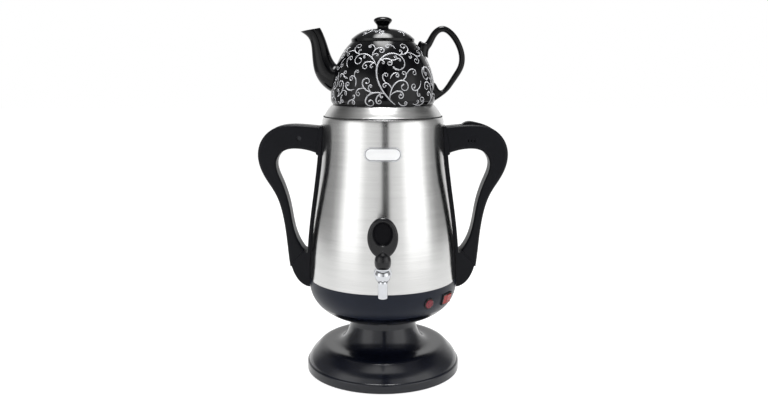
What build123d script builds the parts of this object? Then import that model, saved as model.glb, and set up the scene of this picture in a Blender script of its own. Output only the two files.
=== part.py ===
"""Electric tea samovar.

A brushed steel urn stands on a trumpet-shaped pedestal. It has a lever tap in front, a loop handle
on each side, and a ring lid that carries a ceramic teapot, which the steam of the urn keeps hot.

Millimetres, +Z up. The tap faces -Y and the rocker handle is on +X. The origin is the centre of the
rubber ring that the samovar stands on, at table height.
"""

import os
from math import acos, asin, atan2, cos, degrees, pi, radians, sin, sqrt

from build123d import *

os.makedirs("parts", exist_ok=True)

# ---- Clearances ---------------------------------------------------------------------------------
seam_gap = 0.3  # a visible joint line, and curved faces of pieces that part
slip_gap = 0.15  # a cover or a plug in its seat
hole_gap = 0.1  # a screw shank in its hole
hinge_gap = 0.05  # a pin in its bearing

# ---- Pedestal -----------------------------------------------------------------------------------
foot_ring_proud = 1.6  # the rubber ring stands this far below the pedestal's rim
foot_ring_radius = 88.0
foot_ring_width = 8.0
base_radius = 102.0
base_side_top = 13.6  # height of the crease between the side wall and the crown
base_crown_radius = 76.0
base_crown_top = 36.4
pedestal_neck_radius = 43.2
pedestal_top = 74.0
pedestal_wall = 2.8
base_cover_thickness = 2.4
base_boss_radius = 4.2
base_screw_circle = 66.0
neck_screw_circle = 27.0
base_screw_count = 4
neck_screw_count = 3
cable_way_radius = 9.0  # through the top of the neck
ring_groove_depth = 0.8
vent_circle = 40.0
vent_count = 10
vent_length = 16.0
vent_width = 3.0
stiffener_height = 5.0

# ---- Case screws --------------------------------------------------------------------------------
case_screw_radius = 2.0
pilot_radius = 1.6
screw_head_height = 1.5
cover_screw_length = 12.0
neck_screw_length = 12.0

# ---- Bowl under the urn -------------------------------------------------------------------------
bowl_radius = 97.6
bowl_drop = 46.0  # from its widest place down to its flat underside
bowl_widest = pedestal_top + bowl_drop  # height of the widest place
bowl_flat_radius = pedestal_neck_radius + 0.8  # the underside is flat inside this radius
bowl_wall = 2.6
pan_rebate = 4.0  # the upper bowl laps this far over the pan's collar
pan_boss_radius = 5.0
pan_boss_circle = 70.0
pan_boss_drop = 24.0  # from the tank's floor to the top of the pan's pillars
pan_screw_rise = 3.8  # from the pan's skin beside its pillars to their screw heads
pan_screw_count = 3
bowl_seam_z = bowl_widest - 0.6 * bowl_drop  # joint between the upper bowl and the pan below it
body_bottom = bowl_widest + 7.0  # joint between the bowl and the steel

# ---- Steel body ---------------------------------------------------------------------------------
body_foot_radius = bowl_radius - 0.3
body_neck_radius = 78.6
body_height = 208.0
body_top = body_bottom + body_height
body_shoulder = 6.0  # the rounded shoulder below the lid
body_wall = 1.0
body_bell_bias = 1.06  # how late the bell starts to draw in
mouth_radius = body_neck_radius - 9.6
mouth_flange_depth = 5.0
tank_floor_z = body_bottom + 5.0
tank_floor_thickness = 1.2
floor_rim_height = 6.0
heater_plate_radius = 60.0
heater_plate_thickness = 4.0
heater_loop_radius = 48.0
heater_tube_radius = 3.5
heater_loop_angle = 320.0

# ---- Lid of the urn -----------------------------------------------------------------------------
lid_radius = body_neck_radius - 2.1
lid_seat_z = body_top + 3.6
lid_crown_z = lid_seat_z + 14.6
lid_crown_radius = lid_radius - 11.3
lid_wall = 1.2
steam_hole_radius = lid_crown_radius - 15.2
ledge_drop = 2.6  # the teapot stands this far below the crown
lid_skirt_depth = 9.0

# ---- Teapot -------------------------------------------------------------------------------------
pot_foot_radius = lid_crown_radius - 1.6
pot_radius = pot_foot_radius + 3.4
pot_widest = lid_crown_z + 10.8
pot_dome_height = 85.0  # of the ellipse that the dome follows
pot_wall = 4.0
pot_mouth_radius = 35.5
pot_rim_radius = pot_mouth_radius + 5.1
pot_rim_bevel = 0.7
pot_lid_seat = pot_widest + pot_dome_height * sqrt(1 - (pot_rim_radius / pot_radius) ** 2) + pot_rim_bevel
pot_lid_radius = pot_rim_radius - 0.4
pot_lid_thickness = 3.6
pot_lid_crown = pot_lid_seat + 16.3
pot_lid_skirt = 7.0
knob_radius = 11.6
knob_neck_radius = 7.4
knob_top = pot_lid_crown + 14.8
spout_wall = 3.2
spout_root = (11.0 - pot_radius, pot_widest + 22.5)
spout_bend = (-10.8 - pot_radius, pot_widest + 47.5)
spout_neck = (-14.6 - pot_radius, pot_widest + 66.0)
spout_throat = (-17.2 - pot_radius, pot_widest + 74.0)
spout_mouth = (-25.2 - pot_radius, pot_widest + 83.3)
spout_mouth_dip = 10.3  # degrees that the mouth falls towards its beak
spout_root_radius = 19.4
spout_neck_radius = 9.5
spout_mouth_length = 25.0
spout_mouth_width = 19.0
spout_sections = 6
handle_upper_root = (pot_radius - 17.0, pot_widest + 52.0)
handle_crest = (pot_radius + 12.0, pot_widest + 84.0)
handle_far = (pot_radius + 33.4, pot_widest + 53.0)
handle_bend = (pot_radius + 29.2, pot_widest + 30.4)
handle_heel = (pot_radius + 18.3, pot_widest + 15.0)
handle_lower_root = (pot_radius - 6.0, pot_widest - 1.5)
handle_thickness = 7.6  # at its middle
handle_sections = 12
handle_half_width = 5.2  # across the teapot's handle
strainer_hole_radius = 2.4
strainer_hole_count = 6

# ---- Side handles -------------------------------------------------------------------------------
handle_depth = 30.0  # along Y
handle_top = body_top - 8.0
arm_underside = handle_top - 29.8
grip_span = 64.1  # from the foot of the steel to the far side of a grip
grip_reach = body_foot_radius + grip_span
strip_thickness = 2.8
grip_wall = 2.6
grip_edge = 4.0  # edge rounding
tongue_length = 16.0
grip_screw_radius = 1.5
grip_boss_radius = 3.6
grip_screw_length = 20.0
stud_radius = 2.5
stud_length = 9.0
nut_radius = 4.2
nut_thickness = 3.2
upper_stud_z = handle_top - 15.0
lower_stud_z = body_bottom + 25.5
seam_top = (body_neck_radius + 2.3, handle_top - 0.5)  # joint between the grip and its boss
seam_bottom = (body_neck_radius + 7.9, handle_top - 34.4)
foot_seam_inner = (body_foot_radius + 5.9, body_bottom + 36.0)  # between the grip and its foot
foot_seam_outer = (body_foot_radius + 25.4, body_bottom + 16.2)
slot_z = handle_top - 19.4
slot_height = 3.4
slot_width = 1.3
slot_pitch = 3.9

# ---- Boil rocker in the right handle ------------------------------------------------------------
boil_rocker_x = body_foot_radius + 0.35 * grip_span
boil_rocker_length = 39.0
boil_rocker_width = 13.6
boil_pivot_x = boil_rocker_x + 2.3
boil_pivot_z = handle_top - 6.0
boil_pivot_radius = 1.6

# ---- Tap ----------------------------------------------------------------------------------------
tap_reach = 38.6  # from the steel to the axis of the valve
tap_gasket_thickness = 1.0
tap_nut_thickness = 4.0
shank_z = body_bottom + 28.0
shank_radius = 5.6
shank_bore = 3.4
shank_thread_length = 16.0  # inside the tank
tap_flange_radius = 10.7
tap_flange_thickness = 2.4
tap_globe_radius = 9.3
tap_globe_z = shank_z + 7.4
tap_chamber_radius = 4.4
spout_radius = 5.6
spout_bore = 3.9
spout_tip_z = shank_z - 19.2
spout_forward = 4.0  # the spout stands this far in front of the valve
bonnet_radius = 7.8
bonnet_top = shank_z + 16.2
stem_radius = 2.0
tap_pin_z = bonnet_top + 8.2
tap_pin_radius = 1.5
tap_lift = 1.9
tap_opening_angle = 30.0
tap_cam_gap = 0.4  # between the handle's cam and the bonnet
seat_cup_radius = 4.1
seat_cup_height = 4.5
spring_radius = 3.3
spring_wire = 0.7
spring_turns = 3
barrel_radius = 9.7
barrel_top = tap_pin_z + 13.4
paddle_half_width = 17.9
paddle_half_height = 24.0
paddle_z = tap_pin_z + 27.5
paddle_thickness = 9.0
dish_half_width = 12.0
dish_half_height = 14.6
dish_depth = 3.2
dish_z = paddle_z + 5.0

# ---- Controls on the bowl -----------------------------------------------------------------------
lamp_azimuth = 36.5  # degrees from the tap towards +X
lamp_z = body_bottom - 16.5
lamp_radius = 6.0
switch_azimuth = 57.0
switch_z = body_bottom - 17.0
switch_length = 21.0
switch_height = 15.0
switch_depth = 16.0
rocker_length = 17.0
rocker_height = 11.6
rocker_tilt = 7.0  # each way from level
inlet_z = body_bottom - 15.0
inlet_width = 50.0
inlet_height = 22.5
socket_width = 24.4
socket_height = 16.4
socket_depth = 17.0
inlet_screw_pitch = 40.0

# ---- Name plate, left bare ----------------------------------------------------------------------
plate_width = 46.0
plate_height = 17.6
plate_thickness = 0.9
plate_z = body_top - 38.0


def save(builder, name):
    """Names a finished piece and writes it to its own file."""
    builder.part.label = name
    export_step(builder.part, f"parts/{name}.step")


def body_radius(z):
    """Outer radius of the steel at height z: a bell that eases from its foot to its neck."""
    share = min(1.0, max(0.0, (z - body_bottom) / (body_top - body_bottom)))
    ease = cos(pi / 2 * share**body_bell_bias) ** 2
    return body_neck_radius + (body_foot_radius - body_neck_radius) * ease


bowl_reach = bowl_radius - bowl_flat_radius
bowl_bottom = pedestal_top


def bowl_surface(z):
    """Outer radius of the bowl at height z, which follows a quarter ellipse."""
    return bowl_flat_radius + bowl_reach * sqrt(1 - ((bowl_widest - z) / bowl_drop) ** 2)


def bowl_skin_z(radius):
    """Height of the bowl's skin below its widest place at a radius."""
    return bowl_widest - bowl_drop * sqrt(1 - ((radius - bowl_flat_radius) / bowl_reach) ** 2)


def bowl_plane(azimuth, z):
    """A plane that touches the bowl, with its normal outwards and its y axis up the wall."""
    radius = bowl_surface(z)
    fall = atan2((bowl_widest - z) / bowl_drop**2, (radius - bowl_flat_radius) / bowl_reach**2)
    turn = radians(azimuth)
    ahead = Vector(sin(turn), -cos(turn), 0)
    normal = ahead * cos(fall) - Vector(0, 0, sin(fall))
    return Plane(
        origin=ahead * radius + Vector(0, 0, z),
        x_dir=Vector(cos(turn), sin(turn), 0),
        z_dir=normal,
    )


def pan_head_screw(shank_radius, length):
    """A screw that points up: its head seats at the origin, below it."""
    Cylinder(shank_radius, length, align=(Align.CENTER, Align.CENTER, Align.MIN))
    Cylinder(2 * shank_radius, screw_head_height, align=(Align.CENTER, Align.CENTER, Align.MAX))


# =================================================================================================
# Pedestal
# =================================================================================================
def trumpet_outline(inset):
    """The pedestal's outline from its rim to its axis, drawn this far inside the outer skin."""
    foot = Line(
        (base_radius - inset, foot_ring_proud),
        (base_radius - inset, base_side_top - 3.2),
    )
    side = Spline(
        foot @ 1,
        (base_radius - 2.0 - inset, base_side_top - inset / 3),
        tangents=((0, 1), (-1, 0.5)),
    )
    crown = Spline(
        side @ 1,
        (base_radius - 6.6 - 0.9 * inset, base_side_top + 9.0 - 0.4 * inset),
        (base_radius - 14.2 - 0.6 * inset, base_side_top + 17.4 - 0.8 * inset),
        (base_crown_radius, base_crown_top - inset),
        tangents=((-0.3, 1), (-1, 0)),
    )
    flare = Spline(
        crown @ 1,
        (pedestal_neck_radius + 13.5 - 0.2 * inset, base_crown_top + 1.9 - inset),
        (pedestal_neck_radius + 5.8 - 0.8 * inset, base_crown_top + 10.6 - 0.6 * inset),
        (pedestal_neck_radius + 1.4 - inset, base_crown_top + 22.6 - 0.1 * inset),
        (pedestal_neck_radius - inset, pedestal_top - inset),
        tangents=((-1, 0), (0, 1)),
    )
    Polyline(flare @ 1, (0, pedestal_top - inset), (0, foot_ring_proud), foot @ 0)


with BuildPart() as pedestal:
    with BuildSketch(Plane.XZ):
        with BuildLine():
            trumpet_outline(0)
        make_face()
        with BuildLine():
            trumpet_outline(pedestal_wall)
        make_face(mode=Mode.SUBTRACT)
    revolve(axis=Axis.Z)
    # Pillars that the base cover is screwed to
    cover_top = foot_ring_proud + 1.0 + base_cover_thickness
    pillar_height = base_crown_top - pedestal_wall / 2 - cover_top
    with BuildSketch(Plane.XY.offset(cover_top)):
        with PolarLocations(base_screw_circle, base_screw_count, start_angle=45):
            Circle(base_boss_radius)
            Circle(pilot_radius, mode=Mode.SUBTRACT)
    extrude(amount=pillar_height)
    # Screw holes and the cable way through the top of the neck
    with BuildSketch(Plane.XY.offset(pedestal_top)):
        with PolarLocations(neck_screw_circle, neck_screw_count, start_angle=90):
            Circle(case_screw_radius + hole_gap)
        Circle(cable_way_radius)
    extrude(amount=-2 * pedestal_wall, mode=Mode.SUBTRACT)
save(pedestal, "pedestal")

# =================================================================================================
# Base cover, rubber ring and screws
# =================================================================================================
cover_bottom = cover_top - base_cover_thickness
cover_radius = base_radius - pedestal_wall - 2.6
with BuildPart() as base_cover:
    with BuildSketch(Plane.XY.offset(cover_bottom)):
        Circle(cover_radius)
    extrude(amount=base_cover_thickness)
    # A groove for the rubber ring, with a rib above it to keep the floor stiff
    with BuildSketch(Plane.XY.offset(cover_bottom)):
        Circle(foot_ring_radius + foot_ring_width / 2)
        Circle(foot_ring_radius - foot_ring_width / 2, mode=Mode.SUBTRACT)
    extrude(amount=ring_groove_depth, mode=Mode.SUBTRACT)
    with BuildSketch(Plane.XY.offset(cover_bottom)):
        with PolarLocations(base_screw_circle, base_screw_count, start_angle=45):
            Circle(case_screw_radius + hole_gap)
    extrude(amount=base_cover_thickness, mode=Mode.SUBTRACT)
    with BuildSketch(Plane.XY.offset(cover_bottom)):
        with PolarLocations(vent_circle, vent_count):
            SlotOverall(vent_length, vent_width, rotation=90)
    extrude(amount=base_cover_thickness, mode=Mode.SUBTRACT)
    with BuildSketch(Plane.XY.offset(cover_top)):
        Circle(base_screw_circle - 2 * base_boss_radius)
        Circle(base_screw_circle - 2 * base_boss_radius - base_cover_thickness, mode=Mode.SUBTRACT)
    extrude(amount=stiffener_height)
save(base_cover, "base_cover")

with BuildPart() as foot_ring:
    with BuildSketch():
        Circle(foot_ring_radius + foot_ring_width / 2)
        Circle(foot_ring_radius - foot_ring_width / 2, mode=Mode.SUBTRACT)
    extrude(amount=cover_bottom + ring_groove_depth)
    chamfer(foot_ring.edges().group_by(Axis.Z)[0], 0.5)
save(foot_ring, "foot_ring")

with BuildPart() as base_cover_screws:
    with Locations(Plane.XY.offset(cover_bottom)):
        with PolarLocations(base_screw_circle, base_screw_count, start_angle=45):
            pan_head_screw(pilot_radius, cover_screw_length)
save(base_cover_screws, "base_cover_screws")

with BuildPart() as neck_screws:
    with Locations(Plane.XY.offset(pedestal_top - pedestal_wall)):
        with PolarLocations(neck_screw_circle, neck_screw_count, start_angle=90):
            pan_head_screw(case_screw_radius, neck_screw_length)
save(neck_screws, "neck_screws")


# =================================================================================================
# Bowl: a glossy pan below, and a satin wall above it that carries the controls
# =================================================================================================
def bowl_outline(inset, low, high):
    """A closed outline of the bowl's inside or outside between two heights, axis included."""
    reach = bowl_reach - inset
    drop = bowl_drop - inset
    start = degrees(asin((low - bowl_widest) / drop)) if low > bowl_bottom + inset else -90
    end = degrees(asin((min(high, bowl_widest) - bowl_widest) / drop))
    arc = EllipticalCenterArc(
        (bowl_flat_radius, bowl_widest), reach, drop, start_angle=start, arc_size=end - start
    )
    top = [(bowl_flat_radius + reach, high)] if high > bowl_widest else []
    Polyline(arc @ 1, *top, (0, high), (0, (arc @ 0).Y), arc @ 0)


pan_boss_top = tank_floor_z - pan_boss_drop
pan_screw_seat = bowl_skin_z(pan_boss_circle + pan_boss_radius + bowl_wall) + pan_screw_rise
with BuildPart() as under_pan:
    with BuildSketch(Plane.XZ):
        with BuildLine():
            bowl_outline(0, bowl_bottom, bowl_seam_z)
        make_face()
        with BuildLine():
            bowl_outline(bowl_wall, bowl_bottom, bowl_seam_z)
        make_face(mode=Mode.SUBTRACT)
        # A collar inside its rim, for the upper bowl to lap over
        with BuildLine():
            bowl_outline(bowl_wall / 2, bowl_seam_z - pan_rebate, bowl_seam_z)
        make_face()
        with BuildLine():
            bowl_outline(bowl_wall + slip_gap, bowl_seam_z - pan_rebate, bowl_seam_z + pan_rebate)
        make_face()
        with BuildLine():
            bowl_outline(2 * bowl_wall, bowl_seam_z - pan_rebate, bowl_seam_z + pan_rebate)
        make_face(mode=Mode.SUBTRACT)
    revolve(axis=Axis.Z)
    # Pillars for the screws that draw the pan up against the urn, open at the bottom
    with BuildSketch(Plane.XY.offset(pan_screw_seat - bowl_wall)):
        with PolarLocations(pan_boss_circle, pan_screw_count, start_angle=30):
            Circle(pan_boss_radius + bowl_wall)
    extrude(amount=pan_boss_top - pan_screw_seat + bowl_wall)
    with BuildSketch(Plane.XY.offset(pan_screw_seat)):
        with PolarLocations(pan_boss_circle, pan_screw_count, start_angle=30):
            Circle(pan_boss_radius)
    extrude(amount=bowl_bottom - pan_screw_seat, mode=Mode.SUBTRACT)
    with BuildSketch(Plane.XY.offset(pan_boss_top)):
        with PolarLocations(pan_boss_circle, pan_screw_count, start_angle=30):
            Circle(case_screw_radius + hole_gap)
    extrude(amount=pan_screw_seat - pan_boss_top, mode=Mode.SUBTRACT)
    # Bosses for the screws that come up through the pedestal's neck, and the cable way
    with BuildSketch(Plane.XY.offset(bowl_bottom)):
        with PolarLocations(neck_screw_circle, neck_screw_count, start_angle=90):
            Circle(base_boss_radius)
    extrude(amount=neck_screw_length)
    with BuildSketch(Plane.XY.offset(bowl_bottom)):
        with PolarLocations(neck_screw_circle, neck_screw_count, start_angle=90):
            Circle(case_screw_radius + hole_gap)
        Circle(cable_way_radius)
    extrude(amount=neck_screw_length, mode=Mode.SUBTRACT)
save(under_pan, "under_pan")

with BuildPart() as pan_screws:
    with Locations(Plane.XY.offset(pan_screw_seat)):
        with PolarLocations(pan_boss_circle, pan_screw_count, start_angle=30):
            pan_head_screw(case_screw_radius, tank_floor_z - pan_screw_seat - pan_boss_drop / 2)
save(pan_screws, "pan_screws")

lamp_plane = bowl_plane(lamp_azimuth, lamp_z)
switch_plane = bowl_plane(switch_azimuth, switch_z)
inlet_plane = Plane(origin=(0, bowl_radius, inlet_z), x_dir=(-1, 0, 0), z_dir=(0, 1, 0))
seat_depth = 1.2  # of the flat seats that the controls are let into
switch_body_length = switch_length - 1.4
switch_body_height = switch_height - 0.8
lamp_bezel_radius = lamp_radius + 1.4
inlet_pad_depth = 14.0
inlet_body_width = socket_width + pedestal_wall
inlet_body_height = socket_height + pedestal_wall
with BuildPart() as base_bowl:
    with BuildSketch(Plane.XZ):
        with BuildLine():
            bowl_outline(0, bowl_seam_z, body_bottom)
        make_face()
        with BuildLine():
            bowl_outline(bowl_wall, bowl_seam_z, body_bottom)
        make_face(mode=Mode.SUBTRACT)
    revolve(axis=Axis.Z)
    # A collar that stands up inside the foot of the steel
    with BuildSketch(Plane.XY.offset(body_bottom - pan_rebate)):
        Circle(body_foot_radius - body_wall - slip_gap)
        Circle(body_foot_radius - body_wall - slip_gap - bowl_wall, mode=Mode.SUBTRACT)
    extrude(amount=2 * pan_rebate)
    # A flat pad at the back for the mains inlet, hollow behind
    with BuildSketch(inlet_plane):
        RectangleRounded(inlet_width + 3.0, inlet_height + 3.0, 5.0)
    extrude(amount=-inlet_pad_depth)
    with BuildSketch(inlet_plane.offset(-bowl_wall)):
        RectangleRounded(inlet_width - bowl_wall, inlet_height - bowl_wall, 3.0)
    extrude(amount=-inlet_pad_depth, mode=Mode.SUBTRACT)
    with BuildSketch(inlet_plane):
        Rectangle(inlet_body_width + slip_gap, inlet_body_height + slip_gap)
    extrude(amount=-inlet_pad_depth, mode=Mode.SUBTRACT)
    with BuildSketch(inlet_plane):
        with GridLocations(inlet_screw_pitch, 1, 2, 1):
            Circle(pilot_radius)
    extrude(amount=-inlet_pad_depth, mode=Mode.SUBTRACT)
    # Seats and holes for the lamp and the switch
    with BuildSketch(lamp_plane.offset(-seat_depth)):
        Circle(lamp_bezel_radius + slip_gap)
    extrude(amount=2 * seat_depth, mode=Mode.SUBTRACT)
    with BuildSketch(lamp_plane):
        Circle(lamp_radius - 1.0 + slip_gap)
    extrude(amount=-3 * bowl_wall, mode=Mode.SUBTRACT)
    with BuildSketch(switch_plane.offset(-seat_depth)):
        RectangleRounded(switch_length + 2 * slip_gap, switch_height + 2 * slip_gap, 1.2)
    extrude(amount=2 * seat_depth, mode=Mode.SUBTRACT)
    with BuildSketch(switch_plane):
        Rectangle(switch_body_length + 2 * slip_gap, switch_body_height + 2 * slip_gap)
    extrude(amount=-3 * bowl_wall, mode=Mode.SUBTRACT)
save(base_bowl, "base_bowl")

# =================================================================================================
# Controls on the bowl
# =================================================================================================
with BuildPart() as lamp_bezel:
    with BuildSketch(lamp_plane.offset(-seat_depth)):
        Circle(lamp_bezel_radius)
        Circle(lamp_radius, mode=Mode.SUBTRACT)
    extrude(amount=seat_depth + 1.2)
    chamfer(lamp_bezel.edges().filter_by(GeomType.CIRCLE).sort_by(Axis.Y)[0], 0.4)
    with BuildSketch(lamp_plane.offset(-seat_depth)):
        Circle(lamp_radius - 1.0)
        Circle(lamp_radius - 2.0, mode=Mode.SUBTRACT)
    extrude(amount=-10)
    with BuildSketch(lamp_plane.offset(-seat_depth)):
        Circle(lamp_radius + 0.3)
        Circle(lamp_radius - 2.0, mode=Mode.SUBTRACT)
    extrude(amount=0.6)
save(lamp_bezel, "lamp_bezel")

with BuildPart() as lamp_lens:
    with BuildSketch(lamp_plane.offset(0.6 - seat_depth)):
        Circle(lamp_radius)
    extrude(amount=seat_depth + 1.6)
    fillet(lamp_lens.edges().filter_by(GeomType.CIRCLE).sort_by(Axis.Y)[0], 1.2)
    with BuildSketch(lamp_plane.offset(0.6 - seat_depth)):
        Circle(lamp_radius - 2.0 - slip_gap)
    extrude(amount=-8)
save(lamp_lens, "lamp_lens")

rocker_end_gap = 0.5
rocker_side_gap = 0.2
trunnion_radius = 1.2
trunnion_depth = -1.0  # of the rocker's pivot below the bezel's seat line
with BuildPart() as switch_frame:
    with BuildSketch(switch_plane.offset(-seat_depth)):
        RectangleRounded(switch_length, switch_height, 1.0)
    extrude(amount=seat_depth + 1.2)
    chamfer(switch_frame.faces().sort_by(SortBy.AREA)[-1].edges(), 0.3)
    with BuildSketch(switch_plane):
        Rectangle(switch_body_length, switch_body_height)
    extrude(amount=-switch_depth)
    with BuildSketch(switch_plane.offset(1.2)):
        Rectangle(rocker_length + 2 * rocker_end_gap, rocker_height + 2 * rocker_side_gap)
    extrude(amount=-8.0, mode=Mode.SUBTRACT)
    # Bearings for the rocker
    switch_pivot = Plane(
        origin=switch_plane.origin + switch_plane.z_dir * trunnion_depth,
        x_dir=switch_plane.x_dir,
        z_dir=-switch_plane.y_dir,
    )
    with BuildSketch(switch_pivot.offset(-switch_body_height / 2 + 0.3)):
        Circle(trunnion_radius + hinge_gap)
    extrude(amount=switch_body_height - 0.6, mode=Mode.SUBTRACT)
    # Terminals at the back
    with BuildSketch(switch_plane.offset(-switch_depth)):
        with GridLocations(6.0, 1, 3, 1):
            Rectangle(0.8, 6.3)
    extrude(amount=-7.0)
save(switch_frame, "switch_frame")

tilted_pivot = Plane(switch_pivot.location * Location((0, 0, 0), (0, 0, rocker_tilt)))
with BuildPart() as power_rocker:
    with BuildSketch(tilted_pivot.offset(-rocker_height / 2)):
        with BuildLine():
            half = rocker_length / 2
            crown = Spline((-half, -4.2), (0, -2.4), (half, -4.2))
            Polyline(crown @ 1, (half - 0.4, 2.6), (0, 3.4), (0.4 - half, 2.6), crown @ 0)
        make_face()
    extrude(amount=rocker_height)
    with BuildSketch(switch_pivot.offset(-switch_body_height / 2 + 0.5)):
        Circle(trunnion_radius)
    extrude(amount=switch_body_height - 1.0)
save(power_rocker, "power_rocker")

with BuildPart() as power_inlet:
    with BuildSketch(inlet_plane):
        RectangleRounded(inlet_width, inlet_height, 4.0)
    extrude(amount=2.4)
    chamfer(power_inlet.faces().sort_by(Axis.Y)[-1].edges(), 0.6)
    with BuildSketch(inlet_plane):
        Rectangle(inlet_body_width, inlet_body_height)
    extrude(amount=2.4 - socket_depth - 2.0)
    with BuildSketch(inlet_plane.offset(2.4)):
        with BuildLine():
            across = socket_width / 2
            up = socket_height / 2
            Polyline(
                (-across, -up),
                (across, -up),
                (across, up - 5.0),
                (across - 5.0, up),
                (5.0 - across, up),
                (-across, up - 5.0),
                close=True,
            )
        make_face()
    extrude(amount=-socket_depth, mode=Mode.SUBTRACT)
    with BuildSketch(inlet_plane.offset(2.4)):
        with GridLocations(inlet_screw_pitch, 1, 2, 1):
            Circle(pilot_radius + hole_gap)
    extrude(amount=-2.4, mode=Mode.SUBTRACT)
    with BuildSketch(inlet_plane.offset(2.4 - socket_depth)):
        with Locations((-7.0, -2.0), (7.0, -2.0), (0.0, 2.0)):
            Rectangle(0.8, 5.0)
    extrude(amount=-2.0, mode=Mode.SUBTRACT)
save(power_inlet, "power_inlet")

with BuildPart() as inlet_pins:
    with BuildSketch(inlet_plane.offset(2.4 - socket_depth)):
        with Locations((-7.0, -2.0), (7.0, -2.0), (0.0, 2.0)):
            Rectangle(2.0, 4.0)
    extrude(amount=socket_depth - 4.0)
    with BuildSketch(inlet_plane.offset(2.4 - socket_depth)):
        with Locations((-7.0, -2.0), (7.0, -2.0), (0.0, 2.0)):
            Rectangle(0.8, 5.0)
    extrude(amount=-9.0)
save(inlet_pins, "inlet_pins")

with BuildPart() as inlet_screws:
    for side in (-1, 1):
        head_seat = (side * inlet_screw_pitch / 2, bowl_radius + 2.4, inlet_z)
        with Locations(Plane(head_seat, z_dir=(0, 1, 0))):
            Cylinder(pilot_radius, 10.0, align=(Align.CENTER, Align.CENTER, Align.MAX))
            Cylinder(2 * pilot_radius, screw_head_height, align=(Align.CENTER, Align.CENTER, Align.MIN))
save(inlet_screws, "inlet_screws")


# =================================================================================================
# Steel body, tank floor and heater
# =================================================================================================
def body_outline(inset):
    """The steel's outline, closed across its mouth and its foot, drawn this far inside its skin."""
    rise = (body_top - body_shoulder - body_bottom) / 8
    stations = [body_bottom + rise * step for step in range(9)]
    wall = Spline(*[(body_radius(z) - inset, z) for z in stations])
    shoulder = Spline(
        wall @ 1,
        (lid_radius + 1.2 - 0.8 * inset, body_top + 0.6 - 0.6 * inset),
        (lid_radius - 1.0 - 0.4 * inset, lid_seat_z - inset),
        tangents=(wall % 1, (-1, 0.3)),
    )
    Polyline(shoulder @ 1, (0, lid_seat_z - inset), (0, body_bottom), wall @ 0)


with BuildPart() as steel_body:
    with BuildSketch(Plane.XZ):
        with BuildLine():
            body_outline(0)
        make_face()
        with BuildLine():
            body_outline(body_wall)
        make_face(mode=Mode.SUBTRACT)
    revolve(axis=Axis.Z)
    # The mouth, with its edge turned down
    with BuildSketch(Plane.XY.offset(lid_seat_z)):
        Circle(mouth_radius + body_wall)
    extrude(amount=-mouth_flange_depth)
    with BuildSketch(Plane.XY.offset(lid_seat_z)):
        Circle(mouth_radius)
    extrude(amount=-mouth_flange_depth, mode=Mode.SUBTRACT)
    # Hole for the tap's shank
    with BuildSketch(Plane.XZ.offset(body_foot_radius - 2 * body_shoulder)):
        with Locations((0, shank_z)):
            Circle(shank_radius + hole_gap)
    extrude(amount=4 * body_shoulder, mode=Mode.SUBTRACT)
save(steel_body, "steel_body")

floor_rim_radius = body_radius(tank_floor_z + floor_rim_height) - body_wall - slip_gap
with BuildPart() as tank_floor:
    with BuildSketch(Plane.XY.offset(tank_floor_z)):
        Circle(floor_rim_radius)
    extrude(amount=floor_rim_height)
    with BuildSketch(Plane.XY.offset(tank_floor_z + tank_floor_thickness)):
        Circle(floor_rim_radius - tank_floor_thickness)
    extrude(amount=floor_rim_height, mode=Mode.SUBTRACT)
    fillet(tank_floor.faces().filter_by(Axis.Z).sort_by(Axis.Z)[1].edges(), 1.5)
save(tank_floor, "tank_floor")

with BuildPart() as floor_studs:
    with BuildSketch(Plane.XY.offset(pan_boss_top)):
        with PolarLocations(pan_boss_circle, pan_screw_count, start_angle=30):
            Circle(pan_boss_radius - 1.0)
    extrude(amount=pan_boss_drop)
    with BuildSketch(Plane.XY.offset(pan_boss_top)):
        with PolarLocations(pan_boss_circle, pan_screw_count, start_angle=30):
            Circle(case_screw_radius)
    extrude(amount=pan_boss_drop / 2 + 2.0, mode=Mode.SUBTRACT)
save(floor_studs, "floor_studs")

heater_top = tank_floor_z
with BuildPart() as heater_plate:
    with BuildSketch(Plane.XY.offset(heater_top)):
        Circle(heater_plate_radius)
    extrude(amount=-heater_plate_thickness)
    # A channel that holds the upper half of the heating tube
    with BuildSketch(Plane.XY.offset(heater_top - heater_plate_thickness)):
        Circle(heater_loop_radius + heater_tube_radius + slip_gap)
        Circle(heater_loop_radius - heater_tube_radius - slip_gap, mode=Mode.SUBTRACT)
    extrude(amount=heater_plate_thickness / 2, mode=Mode.SUBTRACT)
    fillet(heater_plate.faces().sort_by(Axis.Z)[0].outer_wire().edges(), 1.0)
save(heater_plate, "heater_plate")

tube_z = heater_top - heater_plate_thickness / 2 - heater_tube_radius
with BuildPart() as heating_element:
    with BuildLine() as loop_line:
        CenterArc((0, 0, tube_z), heater_loop_radius, 110, heater_loop_angle)
    with BuildSketch(Plane(origin=loop_line.line @ 0, z_dir=loop_line.line % 0)):
        Circle(heater_tube_radius)
    sweep()
    # Cold ends turned down, each with a terminal pin
    for place in (0, 1):
        with Locations(loop_line.line @ place):
            Sphere(heater_tube_radius)
            Cylinder(heater_tube_radius, 14.0, align=(Align.CENTER, Align.CENTER, Align.MAX))
            Cylinder(1.4, 22.0, align=(Align.CENTER, Align.CENTER, Align.MAX))
save(heating_element, "heating_element")

with BuildPart() as boil_thermostat:
    with BuildSketch(Plane.XY.offset(heater_top - heater_plate_thickness)):
        with Locations((-16, 0)):
            Circle(8.5)
    extrude(amount=-8.0)
    fillet(boil_thermostat.edges().group_by(Axis.Z)[0], 1.0)
    with BuildSketch(Plane.XY.offset(heater_top - heater_plate_thickness - 8.0)):
        with Locations((-16, 0)):
            with GridLocations(11.0, 1, 2, 1):
                Rectangle(0.8, 6.3)
    extrude(amount=-8.0)
save(boil_thermostat, "boil_thermostat")

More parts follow.
